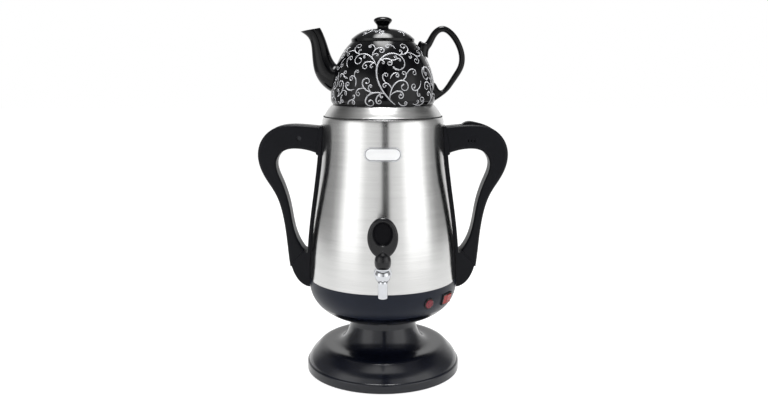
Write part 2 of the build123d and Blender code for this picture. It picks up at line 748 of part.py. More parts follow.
with BuildPart() as dry_boil_cutout:
    with BuildSketch(Plane.XY.offset(heater_top - heater_plate_thickness)):
        with Locations((16, 0)):
            SlotOverall(30.0, 13.0, rotation=90)
    extrude(amount=-1.0)
    with BuildSketch(Plane.XY.offset(heater_top - heater_plate_thickness - 1.0)):
        with Locations((16, 0)):
            Circle(6.5)
    extrude(amount=-9.0)
save(dry_boil_cutout, "dry_boil_cutout")

# =================================================================================================
# Lid of the urn
# =================================================================================================
ledge_z = lid_crown_z - ledge_drop
with BuildPart() as samovar_lid:
    with BuildSketch(Plane.XZ):
        with BuildLine():
            outer = Spline(
                (lid_radius, lid_seat_z),
                (lid_radius - 1.3, lid_seat_z + 1.7),
                (lid_radius - 3.3, lid_seat_z + 5.0),
                (lid_radius - 6.2, lid_seat_z + 9.0),
                (lid_crown_radius, lid_crown_z),
                tangents=((-0.3, 1), (-1, 0.7)),
            )
            step = Polyline(
                outer @ 1,
                (lid_crown_radius - 0.8, lid_crown_z),
                (lid_crown_radius - 1.0, ledge_z),
                (steam_hole_radius, ledge_z),
                (steam_hole_radius, ledge_z - 6.0),
                (steam_hole_radius + lid_wall, ledge_z - 6.0),
                (steam_hole_radius + lid_wall, ledge_z - lid_wall),
                (lid_crown_radius + 1.4, ledge_z - lid_wall),
            )
            inner = Spline(
                step @ 1,
                (lid_radius - 7.4, lid_seat_z + 8.2),
                (lid_radius - 4.5, lid_seat_z + 4.4),
                (lid_radius - lid_wall - 1.1, lid_seat_z),
            )
            Line(inner @ 1, outer @ 0)
        make_face()
    revolve(axis=Axis.Z)
save(samovar_lid, "samovar_lid")

skirt_radius = mouth_radius - seam_gap
with BuildPart() as lid_skirt:
    # A ring below the lid that drops into the mouth and keeps the lid in place
    with BuildSketch(Plane.XZ):
        with BuildLine():
            Polyline(
                (skirt_radius, lid_seat_z + 0.9),
                (skirt_radius - 2.6, lid_seat_z + 3.5),
                (skirt_radius - 2.6, ledge_z - lid_wall),
                (skirt_radius - 4.6, ledge_z - lid_wall),
                (skirt_radius - 4.6, lid_seat_z + 2.7),
                (skirt_radius - 2.0, lid_seat_z + 0.1),
                (skirt_radius - 2.0, lid_seat_z - lid_skirt_depth),
                (skirt_radius, lid_seat_z - lid_skirt_depth),
                close=True,
            )
        make_face()
    revolve(axis=Axis.Z)
save(lid_skirt, "lid_skirt")


# =================================================================================================
# Teapot
# =================================================================================================
def pot_outline(inset, neck_radius, bevel):
    """The pot's outline up to the level of its mouth, drawn this far inside its skin."""
    foot = ledge_z + inset
    spread = acos(neck_radius / (pot_radius - inset))
    base = Polyline((0, foot), (pot_foot_radius - 1.6 - inset, foot), (pot_foot_radius - inset, foot + 1.6))
    Spline(
        base @ 1,
        (pot_radius - 0.7 - inset, pot_widest - 6.5),
        (pot_radius - inset, pot_widest),
        tangents=((0.3, 1), (0, 1)),
    )
    turns = [spread * step / 6 for step in range(7)]
    dome = Spline(
        *[
            ((pot_radius - inset) * cos(turn), pot_widest + (pot_dome_height - inset) * sin(turn))
            for turn in turns
        ]
    )
    Polyline(dome @ 1, (neck_radius - bevel, pot_lid_seat), (0, pot_lid_seat), base @ 0)




with BuildLine(Plane.XZ) as spout_line:
    Spline(spout_root, spout_bend, spout_neck, spout_throat, tangents=((-1, 0.15), (-0.45, 1)))
mouth_normal = Vector(-sin(radians(spout_mouth_dip)), 0, cos(radians(spout_mouth_dip)))
with BuildLine(Plane.XZ) as handle_line:
    Spline(
        handle_upper_root,
        handle_crest,
        handle_far,
        handle_bend,
        handle_heel,
        handle_lower_root,
        tangents=((0.5, 1), (-1, -0.5)),
    )

with BuildPart() as teapot_body:
    # The spout, in ovals that narrow from its root and end in a beak that dips forward
    for inset, mode in ((0, Mode.ADD), (spout_wall, Mode.SUBTRACT)):
        for step in range(spout_sections):
            share = step / (spout_sections - 1)
            narrowing = (spout_root_radius - spout_neck_radius) * (1 - share) ** 1.5
            radius = spout_neck_radius + narrowing - inset
            with BuildSketch(Plane(spout_line.line @ share, (0, 1, 0), spout_line.line % share)):
                Ellipse(radius * (1 - 0.06 * share), radius)
        lip = Vector(spout_mouth[0], 0, spout_mouth[1]) + mouth_normal * inset / 4
        with BuildSketch(Plane(lip, (0, 1, 0), mouth_normal)):
            Ellipse((spout_mouth_width - inset) / 2, (spout_mouth_length - inset) / 2)
        loft(mode=mode)
    # The loop of the handle, thick at both roots
    for step in range(handle_sections):
        share = step / (handle_sections - 1)
        swell = 1 + 1.3 * abs(2 * share - 1) ** 6
        section = Plane(handle_line.line @ share, (0, 1, 0), handle_line.line % share)
        with BuildSketch(section):
            Ellipse(handle_half_width * (1 + swell) / 2, handle_thickness / 2 * swell)
    loft()
    with BuildSketch(Plane.YZ):
        with BuildLine():
            pot_outline(0, pot_rim_radius, pot_rim_bevel)
        make_face()
    revolve(axis=Axis.Z)
    with BuildSketch(Plane.YZ):
        with BuildLine():
            pot_outline(pot_wall, pot_mouth_radius, -0.5)
        make_face()
    revolve(axis=Axis.Z, mode=Mode.SUBTRACT)
    # Strainer holes through the wall behind the spout
    strainer = Plane(spout_line.line @ 0, (0, 1, 0), spout_line.line % 0.1)
    with BuildSketch(strainer.offset(-10.0)):
        Circle(strainer_hole_radius)
        with PolarLocations(3 * strainer_hole_radius, strainer_hole_count):
            Circle(strainer_hole_radius)
    extrude(amount=24.0, mode=Mode.SUBTRACT)
save(teapot_body, "teapot_body")

with BuildPart() as teapot_lid:
    with BuildSketch(Plane.XZ):
        with BuildLine():
            knob = Spline(
                (0, knob_top),
                (knob_radius - 2.6, knob_top - 1.4),
                (knob_radius, knob_top - 3.6),
                (knob_radius - 1.6, knob_top - 7.4),
                (knob_neck_radius, knob_top - 11.0),
                (knob_neck_radius + 1.4, pot_lid_crown),
                tangents=((1, 0), (1, -0.5)),
            )
            dome = Spline(
                knob @ 1,
                (pot_lid_radius - 18.2, pot_lid_crown - 1.9),
                (pot_lid_radius - 7.4, pot_lid_crown - 6.9),
                (pot_lid_radius, pot_lid_seat + pot_lid_thickness),
            )
            skirt = Polyline(
                dome @ 1,
                (pot_lid_radius, pot_lid_seat),
                (pot_mouth_radius - seam_gap, pot_lid_seat),
                (pot_mouth_radius - seam_gap, pot_lid_seat - pot_lid_skirt),
                (pot_mouth_radius - seam_gap - pot_lid_thickness, pot_lid_seat - pot_lid_skirt),
                (pot_mouth_radius - seam_gap - pot_lid_thickness, pot_lid_seat + 1.6),
            )
            under = Spline(
                skirt @ 1,
                (pot_lid_radius - 20.0, pot_lid_crown - 5.6),
                (0, pot_lid_crown - pot_lid_thickness),
                tangents=((-0.6, 1), (-1, 0)),
            )
            Line(under @ 1, knob @ 0)
        make_face()
    revolve(axis=Axis.Z)
    fillet(teapot_lid.edges().filter_by(GeomType.CIRCLE).sort_by(SortBy.RADIUS)[-1], 0.8)
    # Steam vent beside the knob
    with BuildSketch(Plane.XY.offset(pot_lid_crown + 4.0)):
        with Locations((0, 2 * knob_radius)):
            Circle(1.4)
    extrude(amount=-5 * pot_lid_thickness, mode=Mode.SUBTRACT)
save(teapot_lid, "teapot_lid")


# =================================================================================================
# Side handles, drawn on +X and mirrored for the other side
# =================================================================================================
def shifted(points, amount):
    """A run of points moved sideways, towards the left of the direction it runs in."""
    moved = []
    last = len(points) - 1
    for place, point in enumerate(points):
        run = Vector(*points[min(place + 1, last)]) - Vector(*points[max(place - 1, 0)])
        moved.append(Vector(*point) + Vector(-run.Y, run.X).normalized() * amount)
    return moved


def along_grip(reach_share, rise_share):
    """A place in the loop: shares of the way out from the steel and up from the grip's foot."""
    rise = handle_top - foot_seam_outer[1]
    return body_foot_radius + grip_span * reach_share, foot_seam_outer[1] + rise * rise_share


arm_screw = (along_grip(0.161, 0)[0], handle_top - 16.3)
grip_screw_places = (arm_screw, along_grip(0.775, 0.804), along_grip(0.421, 0.336))


def loop_outline(inset):
    """The handle's loop seen from the front, from inside the urn and back to it."""
    outer_points = [
        (body_neck_radius - 14.0, handle_top - 1.6),
        (along_grip(0.229, 0)[0], handle_top + 1.2),
        (along_grip(0.680, 0)[0], handle_top - 4.1),
        along_grip(0.922, 0.897),
        along_grip(1, 0.793),
        along_grip(0.894, 0.653),
        along_grip(0.665, 0.518),
        along_grip(0.520, 0.356),
        (foot_seam_outer[0] + 3.2, along_grip(0, 0.157)[1]),
        (foot_seam_outer[0] - 1.8, foot_seam_outer[1] - 12.2),
    ]
    inner_points = [
        (body_neck_radius - 14.0, arm_underside - 16.0),
        (seam_bottom[0], seam_bottom[1] - 0.6),
        (along_grip(0.190, 0)[0], arm_underside),
        (along_grip(0.501, 0)[0], arm_underside - 3.9),
        (along_grip(0.630, 0)[0], arm_underside - 17.0),
        along_grip(0.538, 0.611),
        along_grip(0.382, 0.433),
        along_grip(0.273, 0.235),
        (foot_seam_inner[0] + 1.0, foot_seam_inner[1] + 2.0),
        (foot_seam_inner[0] - 9.0, foot_seam_inner[1] - 8.0),
    ]
    outside = Spline(*shifted(outer_points, -inset))
    inside = Spline(*shifted(inner_points, inset))
    Line(outside @ 0, inside @ 0)
    Line(outside @ 1, inside @ 1)


def grip_limits(gap):
    """The region that the grip keeps to: outside both of its seams, by this gap."""
    top = Vector(*seam_top)
    bottom = Vector(*seam_bottom)
    inner = Vector(*foot_seam_inner)
    far = Vector(*foot_seam_outer)
    corners = [
        top + (top - bottom) * 0.5,
        bottom + (bottom - top) * 0.4,
        inner + (inner - far) * 0.6,
        far + (far - inner) * 0.8,
        Vector(grip_reach + 20.0, far.Y - 20.0),
        Vector(grip_reach + 20.0, top.Y + 20.0),
    ]
    Polyline(*[corner + Vector(gap, 0.4 * gap) for corner in corners], close=True)


strip_top = seam_bottom[1] - 3.6
strip_foot = foot_seam_inner[1] - 2.0
with BuildPart() as right_handle_mount:
    with BuildSketch(Plane.XZ):
        with BuildLine():
            # Boss at the top, strip down the steel, and foot beside the bowl
            boss = Polyline(
                (body_neck_radius - 14.0, seam_top[1] - 1.0),
                seam_top,
                seam_bottom,
                (seam_bottom[0] - 0.4, seam_bottom[1] - 2.2),
                (body_radius(strip_top) + strip_thickness, strip_top),
            )
            strip = Spline(
                *[
                    (body_radius(z) + strip_thickness, z)
                    for z in [strip_top + (strip_foot - strip_top) * share / 4 for share in range(5)]
                ]
            )
            notch = Polyline(
                strip @ 1,
                (foot_seam_inner[0] - 2.2, strip_foot),
                foot_seam_inner,
                foot_seam_outer,
                (foot_seam_outer[0] - 2.4, foot_seam_outer[1] - 0.9),
            )
            foot = Spline(
                notch @ 1,
                (foot_seam_outer[0] - 5.4, foot_seam_outer[1] - 9.7),
                (foot_seam_outer[0] - 16.0, foot_seam_outer[1] - 24.3),
                (foot_seam_outer[0] - 24.0, foot_seam_outer[1] - 28.3),
            )
            Polyline(foot @ 1, (body_neck_radius - 14.0, foot_seam_outer[1] - 30.0), boss @ 0)
        make_face()
    extrude(amount=handle_depth / 2, both=True)
    # Tongues that enter both ends of the hollow grip
    for begin, end in ((seam_top, seam_bottom), (foot_seam_outer, foot_seam_inner)):
        with BuildSketch(Plane.XZ):
            with BuildLine():
                loop_outline(grip_wall + slip_gap)
            make_face()
            with BuildLine():
                near = Vector(*begin)
                far = Vector(*end)
                aside = Vector(near.Y - far.Y, far.X - near.X).normalized()
                Polyline(
                    near - aside * 3.0,
                    near + aside * tongue_length,
                    far + aside * tongue_length,
                    far - aside * 3.0,
                    close=True,
                )
            make_face(mode=Mode.INTERSECT)
        extrude(amount=handle_depth / 2 - grip_wall - slip_gap, both=True)
    # Room for the urn, and for its studs with their nuts
    with BuildSketch(Plane.YZ):
        with BuildLine():
            body_outline(-seam_gap)
        make_face()
    revolve(axis=Axis.Z, mode=Mode.SUBTRACT)
    with BuildSketch(Plane.YZ):
        with BuildLine():
            bowl_outline(-seam_gap, bowl_seam_z, body_bottom + seam_gap)
        make_face()
    revolve(axis=Axis.Z, mode=Mode.SUBTRACT)
    for stud_z in (upper_stud_z, lower_stud_z):
        with BuildSketch(Plane.YZ.offset(body_radius(stud_z) - 4.0)):
            with Locations((0, stud_z)):
                Circle(stud_radius + hole_gap)
        extrude(amount=stud_length, mode=Mode.SUBTRACT)
        with BuildSketch(Plane.YZ.offset(body_radius(stud_z) + 4.0)):
            with Locations((0, stud_z)):
                Circle(nut_radius + 2 * seam_gap)
        extrude(amount=3 * stud_length, mode=Mode.SUBTRACT)
save(right_handle_mount, "right_handle_mount")

with BuildPart() as left_handle_mount:
    mirror(right_handle_mount.part, about=Plane.YZ)
save(left_handle_mount, "left_handle_mount")

with BuildPart() as mount_studs:
    for stud_z in (upper_stud_z, lower_stud_z):
        with BuildSketch(Plane.YZ.offset(body_radius(stud_z) - 1.5)):
            with Locations((0, stud_z)):
                Circle(stud_radius)
        extrude(amount=stud_length)
    with BuildSketch(Plane.YZ):
        with BuildLine():
            body_outline(0)
        make_face()
    revolve(axis=Axis.Z, mode=Mode.SUBTRACT)
    mirror(about=Plane.YZ)
save(mount_studs, "mount_studs")

with BuildPart() as mount_nuts:
    for stud_z in (upper_stud_z, lower_stud_z):
        with BuildSketch(Plane.YZ.offset(body_radius(stud_z) + 4.0)):
            with Locations((0, stud_z)):
                RegularPolygon(nut_radius, 6)
                Circle(stud_radius, mode=Mode.SUBTRACT)
        extrude(amount=nut_thickness)
    mirror(about=Plane.YZ)
save(mount_nuts, "mount_nuts")

with BuildPart(mode=Mode.PRIVATE) as grip_blank:
    with BuildSketch(Plane.XZ):
        with BuildLine():
            loop_outline(0)
        make_face()
        with BuildLine():
            grip_limits(seam_gap)
        make_face(mode=Mode.INTERSECT)
    extrude(amount=handle_depth / 2, both=True)
    fillet(grip_blank.edges().filter_by(GeomType.BSPLINE), grip_edge)
    with BuildSketch(Plane.XZ):
        with BuildLine():
            loop_outline(grip_wall)
        make_face()
    extrude(amount=handle_depth / 2 - grip_wall, both=True, mode=Mode.SUBTRACT)
    with BuildSketch(Plane.XZ):
        with Locations(*grip_screw_places):
            Circle(grip_boss_radius)
    extrude(amount=handle_depth / 2 - grip_wall / 2, both=True)


def grip_screw_well(place, side):
    """Clears a screw's shank and the well of its head, which is at the front when side is -1."""
    with Locations(Plane((place[0], 0, place[1]), z_dir=(0, side, 0))):
        Cylinder(grip_screw_radius, grip_screw_length, mode=Mode.SUBTRACT)
        with Locations((0, 0, grip_screw_length / 2)):
            Cylinder(
                2 * grip_screw_radius + hole_gap,
                grip_screw_length,
                align=(Align.CENTER, Align.CENTER, Align.MIN),
                mode=Mode.SUBTRACT,
            )


def grip_screw(place, side):
    """A screw that joins the halves of a grip, with its head at the front when side is -1."""
    with Locations(Plane((place[0], 0, place[1]), z_dir=(0, side, 0))):
        Cylinder(grip_screw_radius, grip_screw_length)
        with Locations((0, 0, grip_screw_length / 2)):
            Cylinder(
                2 * grip_screw_radius,
                screw_head_height + 0.5,
                align=(Align.CENTER, Align.CENTER, Align.MIN),
            )


boil_well_length = boil_rocker_length + 1.2
boil_well_width = boil_rocker_width + 2 * seam_gap
with BuildPart(mode=Mode.PRIVATE) as right_grip:
    add(grip_blank.part)
    for place in grip_screw_places:
        grip_screw_well(place, 1)
    # Well for the boil rocker, and the bosses that its trunnions turn in
    with BuildSketch(Plane.XY.offset(handle_top - 8.0)):
        with Locations((boil_rocker_x, 0)):
            RectangleRounded(boil_well_length, boil_well_width, 0.8)
    extrude(amount=20.0, mode=Mode.SUBTRACT)
    for side in (-1, 1):
        with BuildSketch(Plane.XZ.offset(side * (boil_well_width / 2))):
            with Locations((boil_pivot_x, boil_pivot_z)):
                Circle(boil_pivot_radius + 2.0)
        extrude(amount=side * (handle_depth / 2 - grip_wall / 2 - boil_well_width / 2))
        with BuildSketch(Plane.XZ.offset(side * (boil_well_width / 2))):
            with Locations((boil_pivot_x, boil_pivot_z)):
                Circle(boil_pivot_radius + hinge_gap)
        extrude(amount=side * 3.2, mode=Mode.SUBTRACT)
    # Vent slots in the front
    with BuildSketch(Plane.XZ.offset(handle_depth / 2)):
        with Locations((grip_screw_places[0][0] + 6.3, slot_z)):
            with GridLocations(slot_pitch, 1, 3, 1):
                Rectangle(slot_width, slot_height)
    extrude(amount=-2 * grip_wall, mode=Mode.SUBTRACT)

with BuildPart() as right_grip_front:
    add(right_grip.part)
    split(bisect_by=Plane.XZ, keep=Keep.TOP)
save(right_grip_front, "right_grip_front")

with BuildPart() as right_grip_back:
    add(right_grip.part)
    split(bisect_by=Plane.XZ, keep=Keep.BOTTOM)
save(right_grip_back, "right_grip_back")

with BuildPart(mode=Mode.PRIVATE) as left_grip:
    mirror(grip_blank.part, about=Plane.YZ)
    for place in grip_screw_places:
        grip_screw_well((-place[0], place[1]), -1 if place is grip_screw_places[0] else 1)

with BuildPart() as left_grip_front:
    add(left_grip.part)
    split(bisect_by=Plane.XZ, keep=Keep.TOP)
save(left_grip_front, "left_grip_front")

with BuildPart() as left_grip_back:
    add(left_grip.part)
    split(bisect_by=Plane.XZ, keep=Keep.BOTTOM)
save(left_grip_back, "left_grip_back")

with BuildPart() as grip_screws:
    for place in grip_screw_places:
        grip_screw(place, 1)
        grip_screw((-place[0], place[1]), -1 if place is grip_screw_places[0] else 1)
save(grip_screws, "grip_screws")

rocker_under_z = boil_pivot_z - 0.6
with BuildPart() as boil_rocker:
    with BuildSketch(Plane.XZ):
        with BuildLine():
            start = boil_rocker_x - boil_rocker_length / 2
            hump = Spline(
                (start, handle_top - 1.6),
                (start + 4.8, handle_top + 3.3),
                (start + 10.1, handle_top + 5.0),
                (start + 19.2, handle_top + 3.9),
                (start + 29.2, handle_top + 1.3),
                (start + boil_rocker_length, handle_top - 3.0),
            )
            Polyline(
                hump @ 1,
                (start + boil_rocker_length, rocker_under_z),
                (start, rocker_under_z),
                hump @ 0,
            )
        make_face()
    extrude(amount=boil_rocker_width / 2, both=True)
    fillet(boil_rocker.edges().filter_by(GeomType.BSPLINE), 1.4)
    with BuildSketch(Plane.XZ):
        with Locations((boil_pivot_x, boil_pivot_z)):
            Circle(boil_pivot_radius)
    extrude(amount=boil_well_width / 2 + 2.8, both=True)
save(boil_rocker, "boil_rocker")

with BuildPart() as boil_switch:
    with BuildSketch(Plane.XY.offset(rocker_under_z - 3.4)):
        with Locations((boil_pivot_x, 0)):
            Rectangle(20.0, 6.4)
    extrude(amount=-10.0)
    # Wings held between the halves of the grip, and the button under the rocker
    with BuildSketch(Plane.XY.offset(rocker_under_z - 6.0)):
        with Locations((boil_pivot_x, 0)):
            Rectangle(8.0, handle_depth - 2 * grip_wall - 2 * slip_gap)
    extrude(amount=-2.0)
    with BuildSketch(Plane.XY.offset(rocker_under_z - 3.4)):
        with Locations((boil_pivot_x - 7.0, 0)):
            Circle(1.5)
    extrude(amount=2.4)
save(boil_switch, "boil_switch")

# =================================================================================================
# Tap
# =================================================================================================
steel_front = body_radius(shank_z)
valve_y = -(steel_front + tap_reach)
spout_y = valve_y - spout_forward
seat_z = shank_z - shank_bore + seam_gap  # floor of the valve's chamber
flange_back = -(steel_front + tap_gasket_thickness)
bonnet_neck_radius = shank_radius - slip_gap
globe_top = bonnet_top - 2.0  # the globe is cut flat for the bonnet
with BuildPart() as tap_body:
    with BuildSketch(Plane.XZ.offset(-flange_back)):
        with Locations((0, shank_z)):
            Circle(tap_flange_radius)
    extrude(amount=tap_flange_thickness)
    chamfer(tap_body.edges().group_by(Axis.Y)[0], 0.8)
    # Shank from inside the tank to the valve
    with BuildSketch(Plane.XZ.offset(steel_front - shank_thread_length)):
        with Locations((0, shank_z)):
            Circle(shank_radius)
    extrude(amount=tap_reach + shank_thread_length)
    with Locations((0, valve_y, tap_globe_z)):
        Sphere(tap_globe_radius)
    with BuildSketch(Plane.XY.offset(shank_z - shank_radius - 1.0)):
        with Locations((0, valve_y)):
            Circle(shank_radius + 0.2)
    extrude(amount=shank_radius)
    # Spout with a rounded shoulder
    with BuildSketch(Plane.XY.offset(spout_tip_z)):
        with Locations((0, spout_y)):
            Circle(spout_radius)
    extrude(amount=tap_globe_z - 3.0 - spout_radius - spout_tip_z)
    fillet(tap_body.edges().group_by(Axis.Z)[0], 1.2)
    with Locations((0, spout_y, tap_globe_z - 3.0 - spout_radius)):
        Sphere(spout_radius)
    with BuildSketch(Plane.XY.offset(globe_top)):
        with Locations((0, valve_y)):
            Rectangle(3 * tap_globe_radius, 3 * tap_globe_radius)
    extrude(amount=tap_globe_radius, mode=Mode.SUBTRACT)
    # Bore of the shank, chamber, port and bore of the spout
    with BuildSketch(Plane.XZ.offset(steel_front - shank_thread_length)):
        with Locations((0, shank_z)):
            Circle(shank_bore)
    extrude(amount=tap_reach + shank_thread_length, mode=Mode.SUBTRACT)
    with BuildSketch(Plane.XY.offset(seat_z)):
        with Locations((0, valve_y)):
            Circle(tap_chamber_radius)
    extrude(amount=globe_top - seat_z, mode=Mode.SUBTRACT)
    with BuildSketch(Plane.XY.offset(bonnet_top - 8.0)):
        with Locations((0, valve_y)):
            Circle(shank_radius)
    extrude(amount=8.0, mode=Mode.SUBTRACT)
    with BuildSketch(Plane.XY.offset(seat_z)):
        with Locations((0, valve_y)):
            Circle(shank_bore - 0.9)
    extrude(amount=-3.0, mode=Mode.SUBTRACT)
    with BuildSketch(Plane.XY.offset(spout_tip_z)):
        with Locations((0, spout_y)):
            Circle(spout_bore)
    extrude(amount=seat_z - 1.5 - spout_tip_z, mode=Mode.SUBTRACT)
save(tap_body, "tap_body")

with BuildPart() as tap_gaskets:
    with BuildSketch(Plane.XZ.offset(steel_front - 2.0)):
        with Locations((0, shank_z)):
            Circle(tap_flange_radius - 0.6)
            Circle(shank_radius, mode=Mode.SUBTRACT)
    extrude(amount=tap_gasket_thickness + 2.0)
    with BuildSketch(Plane.YZ):
        with BuildLine():
            body_outline(0)
        make_face()
    revolve(axis=Axis.Z, mode=Mode.SUBTRACT)
    with BuildSketch(Plane.XZ.offset(steel_front - body_wall - 0.8)):
        with Locations((0, shank_z)):
            Circle(tap_flange_radius - 0.6)
            Circle(shank_radius, mode=Mode.SUBTRACT)
    extrude(amount=-2.0)
save(tap_gaskets, "tap_gaskets")

with BuildPart() as tap_nut:
    with BuildSketch(Plane.XZ.offset(steel_front - body_wall - 2.8)):
        with Locations((0, shank_z)):
            RegularPolygon(tap_flange_radius - 0.7, 6)
            Circle(shank_radius, mode=Mode.SUBTRACT)
    extrude(amount=-tap_nut_thickness)
save(tap_nut, "tap_nut")

bonnet_under = bonnet_top - 8.0 + 0.2
with BuildPart() as tap_bonnet:
    with BuildSketch(Plane.XY.offset(globe_top)):
        with Locations((0, valve_y)):
            Circle(bonnet_radius)
    extrude(amount=bonnet_top - globe_top)
    chamfer(tap_bonnet.edges().group_by(Axis.Z)[-1], 0.5)
    with BuildSketch(Plane.XY.offset(bonnet_under)):
        with Locations((0, valve_y)):
            Circle(bonnet_neck_radius)
    extrude(amount=globe_top - bonnet_under)
    with BuildSketch(Plane.XY.offset(bonnet_under)):
        with Locations((0, valve_y)):
            Circle(stem_radius + hinge_gap)
    extrude(amount=bonnet_top - bonnet_under, mode=Mode.SUBTRACT)
save(tap_bonnet, "tap_bonnet")

cup_top = seat_z + seat_cup_height
with BuildPart() as tap_seat_cup:
    with BuildSketch(Plane.XY.offset(seat_z)):
        with Locations((0, valve_y)):
            Circle(seat_cup_radius)
    extrude(amount=seat_cup_height)
    with BuildSketch(Plane.XY.offset(cup_top)):
        with Locations((0, valve_y)):
            Circle(stem_radius)
    extrude(amount=1.5 - seat_cup_height, mode=Mode.SUBTRACT)
save(tap_seat_cup, "tap_seat_cup")

with BuildPart() as tap_stem:
    with BuildSketch(Plane.XY.offset(seat_z + 1.5)):
        with Locations((0, valve_y)):
            Circle(stem_radius)
    extrude(amount=tap_pin_z + stem_radius - seat_z - 1.5)
    with BuildSketch(Plane.YZ):
        with Locations((valve_y, tap_pin_z)):
            Circle(tap_pin_radius)
    extrude(amount=2 * stem_radius, both=True, mode=Mode.SUBTRACT)
save(tap_stem, "tap_stem")

spring_length = bonnet_under - cup_top
spring_pitch = (spring_length - 2 * spring_wire) / spring_turns
with BuildPart() as tap_spring:
    with BuildLine():
        coil = Helix(
            spring_pitch,
            spring_length - 2 * spring_wire,
            spring_radius,
            center=(0, valve_y, cup_top + spring_wire),
        )
    with BuildSketch(Plane(origin=coil @ 0, z_dir=coil % 0)):
        Circle(spring_wire)
    sweep()
save(tap_spring, "tap_spring")

with BuildPart() as tap_pin:
    with BuildSketch(Plane.YZ):
        with Locations((valve_y, tap_pin_z)):
            Circle(tap_pin_radius)
    extrude(amount=barrel_radius - 1.2, both=True)
save(tap_pin, "tap_pin")

with BuildPart(mode=Mode.PRIVATE) as paddle:
    with BuildSketch(Plane.XZ.offset(-valve_y - paddle_thickness / 2)):
        with Locations((0, paddle_z)):
            Ellipse(paddle_half_width, paddle_half_height)
    extrude(amount=paddle_thickness)
    fillet(paddle.edges().filter_by(GeomType.ELLIPSE), 3.0)
    # Dish for the thumb, with sloping sides
    for depth in (-0.5, dish_depth):
        with BuildSketch(Plane.XZ.offset(-valve_y + paddle_thickness / 2 - depth)):
            with Locations((0, dish_z)):
                Ellipse(dish_half_width - 0.9 * depth, dish_half_height - 0.9 * depth)
    loft(mode=Mode.SUBTRACT)

# The cam is an arc whose centre stands forward of the pin: it comes down as the handle tilts
cam_bottom = bonnet_top + tap_cam_gap
cam_forward = tap_lift / radians(tap_opening_angle)
cam_radius = tap_pin_z - cam_bottom + 0.9
with BuildPart() as tap_handle:
    # A full round barrel whose crown tapers into the paddle
    with BuildSketch(Plane.XZ.offset(-valve_y)):
        with BuildLine():
            barrel = Spline(
                (barrel_radius - 2.4, cam_bottom),
                (barrel_radius - 0.3, cam_bottom + 3.4),
                (barrel_radius, tap_pin_z),
                (barrel_radius - 1.1, tap_pin_z + 5.2),
                (barrel_radius - 3.2, tap_pin_z + 8.8),
                (paddle_thickness / 2 + 0.2, tap_pin_z + 11.4),
                (0, barrel_top),
                tangents=((1, 0.25), (-1, 0)),
            )
            Polyline(barrel @ 1, (0, cam_bottom), barrel @ 0)
        make_face()
    revolve(axis=Axis((0, valve_y, 0), (0, 0, 1)))
    with BuildSketch(Plane.YZ):
        with BuildLine():
            cam_center = (valve_y - cam_forward, cam_bottom + cam_radius)
            cam = CenterArc(cam_center, cam_radius, 200, 70)
            Polyline(
                cam @ 1,
                (valve_y + barrel_radius, cam_bottom),
                (valve_y + barrel_radius, barrel_top),
                (valve_y - barrel_radius - 4.0, barrel_top),
                ((cam @ 0).X, (cam @ 0).Y),
            )
        make_face()
    extrude(amount=barrel_radius, both=True, mode=Mode.INTERSECT)
    add(paddle.part)
    # Slot that the stem swings in, and the hole of the pin
    with BuildSketch(Plane.YZ):
        with BuildLine():
            reach = (tap_pin_z - bonnet_top) * sin(radians(tap_opening_angle))
            Polyline(
                (valve_y + stem_radius + 0.4, cam_bottom - 1.0),
                (valve_y + stem_radius + 1.2, tap_pin_z + stem_radius + 1.0),
                (valve_y - stem_radius - 1.2, tap_pin_z + stem_radius + 1.0),
                (valve_y - stem_radius - 1.0, tap_pin_z),
                (valve_y - reach - stem_radius - 1.4, cam_bottom - 1.0),
                close=True,
            )
        make_face()
    extrude(amount=stem_radius + 0.3, both=True, mode=Mode.SUBTRACT)
    with BuildSketch(Plane.YZ):
        with Locations((valve_y, tap_pin_z)):
            Circle(tap_pin_radius + hinge_gap)
    extrude(amount=2 * barrel_radius, both=True, mode=Mode.SUBTRACT)
save(tap_handle, "tap_handle")

# =================================================================================================
# Name plate, bent to the steel and left bare
# =================================================================================================
with BuildPart() as nameplate:
    with BuildSketch(Plane.YZ):
        with BuildLine():
            body_outline(-plate_thickness - hole_gap)
        make_face()
        with BuildLine():
            body_outline(-hole_gap)
        make_face(mode=Mode.SUBTRACT)
    revolve(axis=Axis.Z)
    with BuildSketch(Plane.XZ):
        with Locations((0, plate_z)):
            SlotOverall(plate_width, plate_height)
    extrude(amount=2 * body_neck_radius, mode=Mode.INTERSECT)
save(nameplate, "nameplate")
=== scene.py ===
"""Electric tea samovar: finishes, scroll ornament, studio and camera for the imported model."""

from itertools import product
from math import atan2, cos, pi, radians, sin, sqrt
from random import Random

import bpy
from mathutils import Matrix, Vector


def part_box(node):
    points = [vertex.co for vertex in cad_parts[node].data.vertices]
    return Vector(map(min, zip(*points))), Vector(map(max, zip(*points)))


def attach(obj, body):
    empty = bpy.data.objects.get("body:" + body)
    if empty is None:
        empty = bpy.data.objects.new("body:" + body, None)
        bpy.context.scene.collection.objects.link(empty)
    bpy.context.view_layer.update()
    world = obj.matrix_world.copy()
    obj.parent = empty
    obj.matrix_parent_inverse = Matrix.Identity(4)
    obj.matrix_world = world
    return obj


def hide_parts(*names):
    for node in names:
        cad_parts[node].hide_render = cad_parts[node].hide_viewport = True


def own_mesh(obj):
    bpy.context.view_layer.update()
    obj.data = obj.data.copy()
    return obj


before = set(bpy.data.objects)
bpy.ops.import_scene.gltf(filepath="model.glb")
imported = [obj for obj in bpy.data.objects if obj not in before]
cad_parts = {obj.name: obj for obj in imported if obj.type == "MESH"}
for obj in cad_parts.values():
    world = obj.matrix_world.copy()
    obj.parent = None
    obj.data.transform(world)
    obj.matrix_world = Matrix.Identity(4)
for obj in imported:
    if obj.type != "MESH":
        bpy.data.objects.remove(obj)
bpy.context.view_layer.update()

MM = 0.001
BAND = "ShaderNodeValToRGB"
NOISE = "ShaderNodeTexNoise"
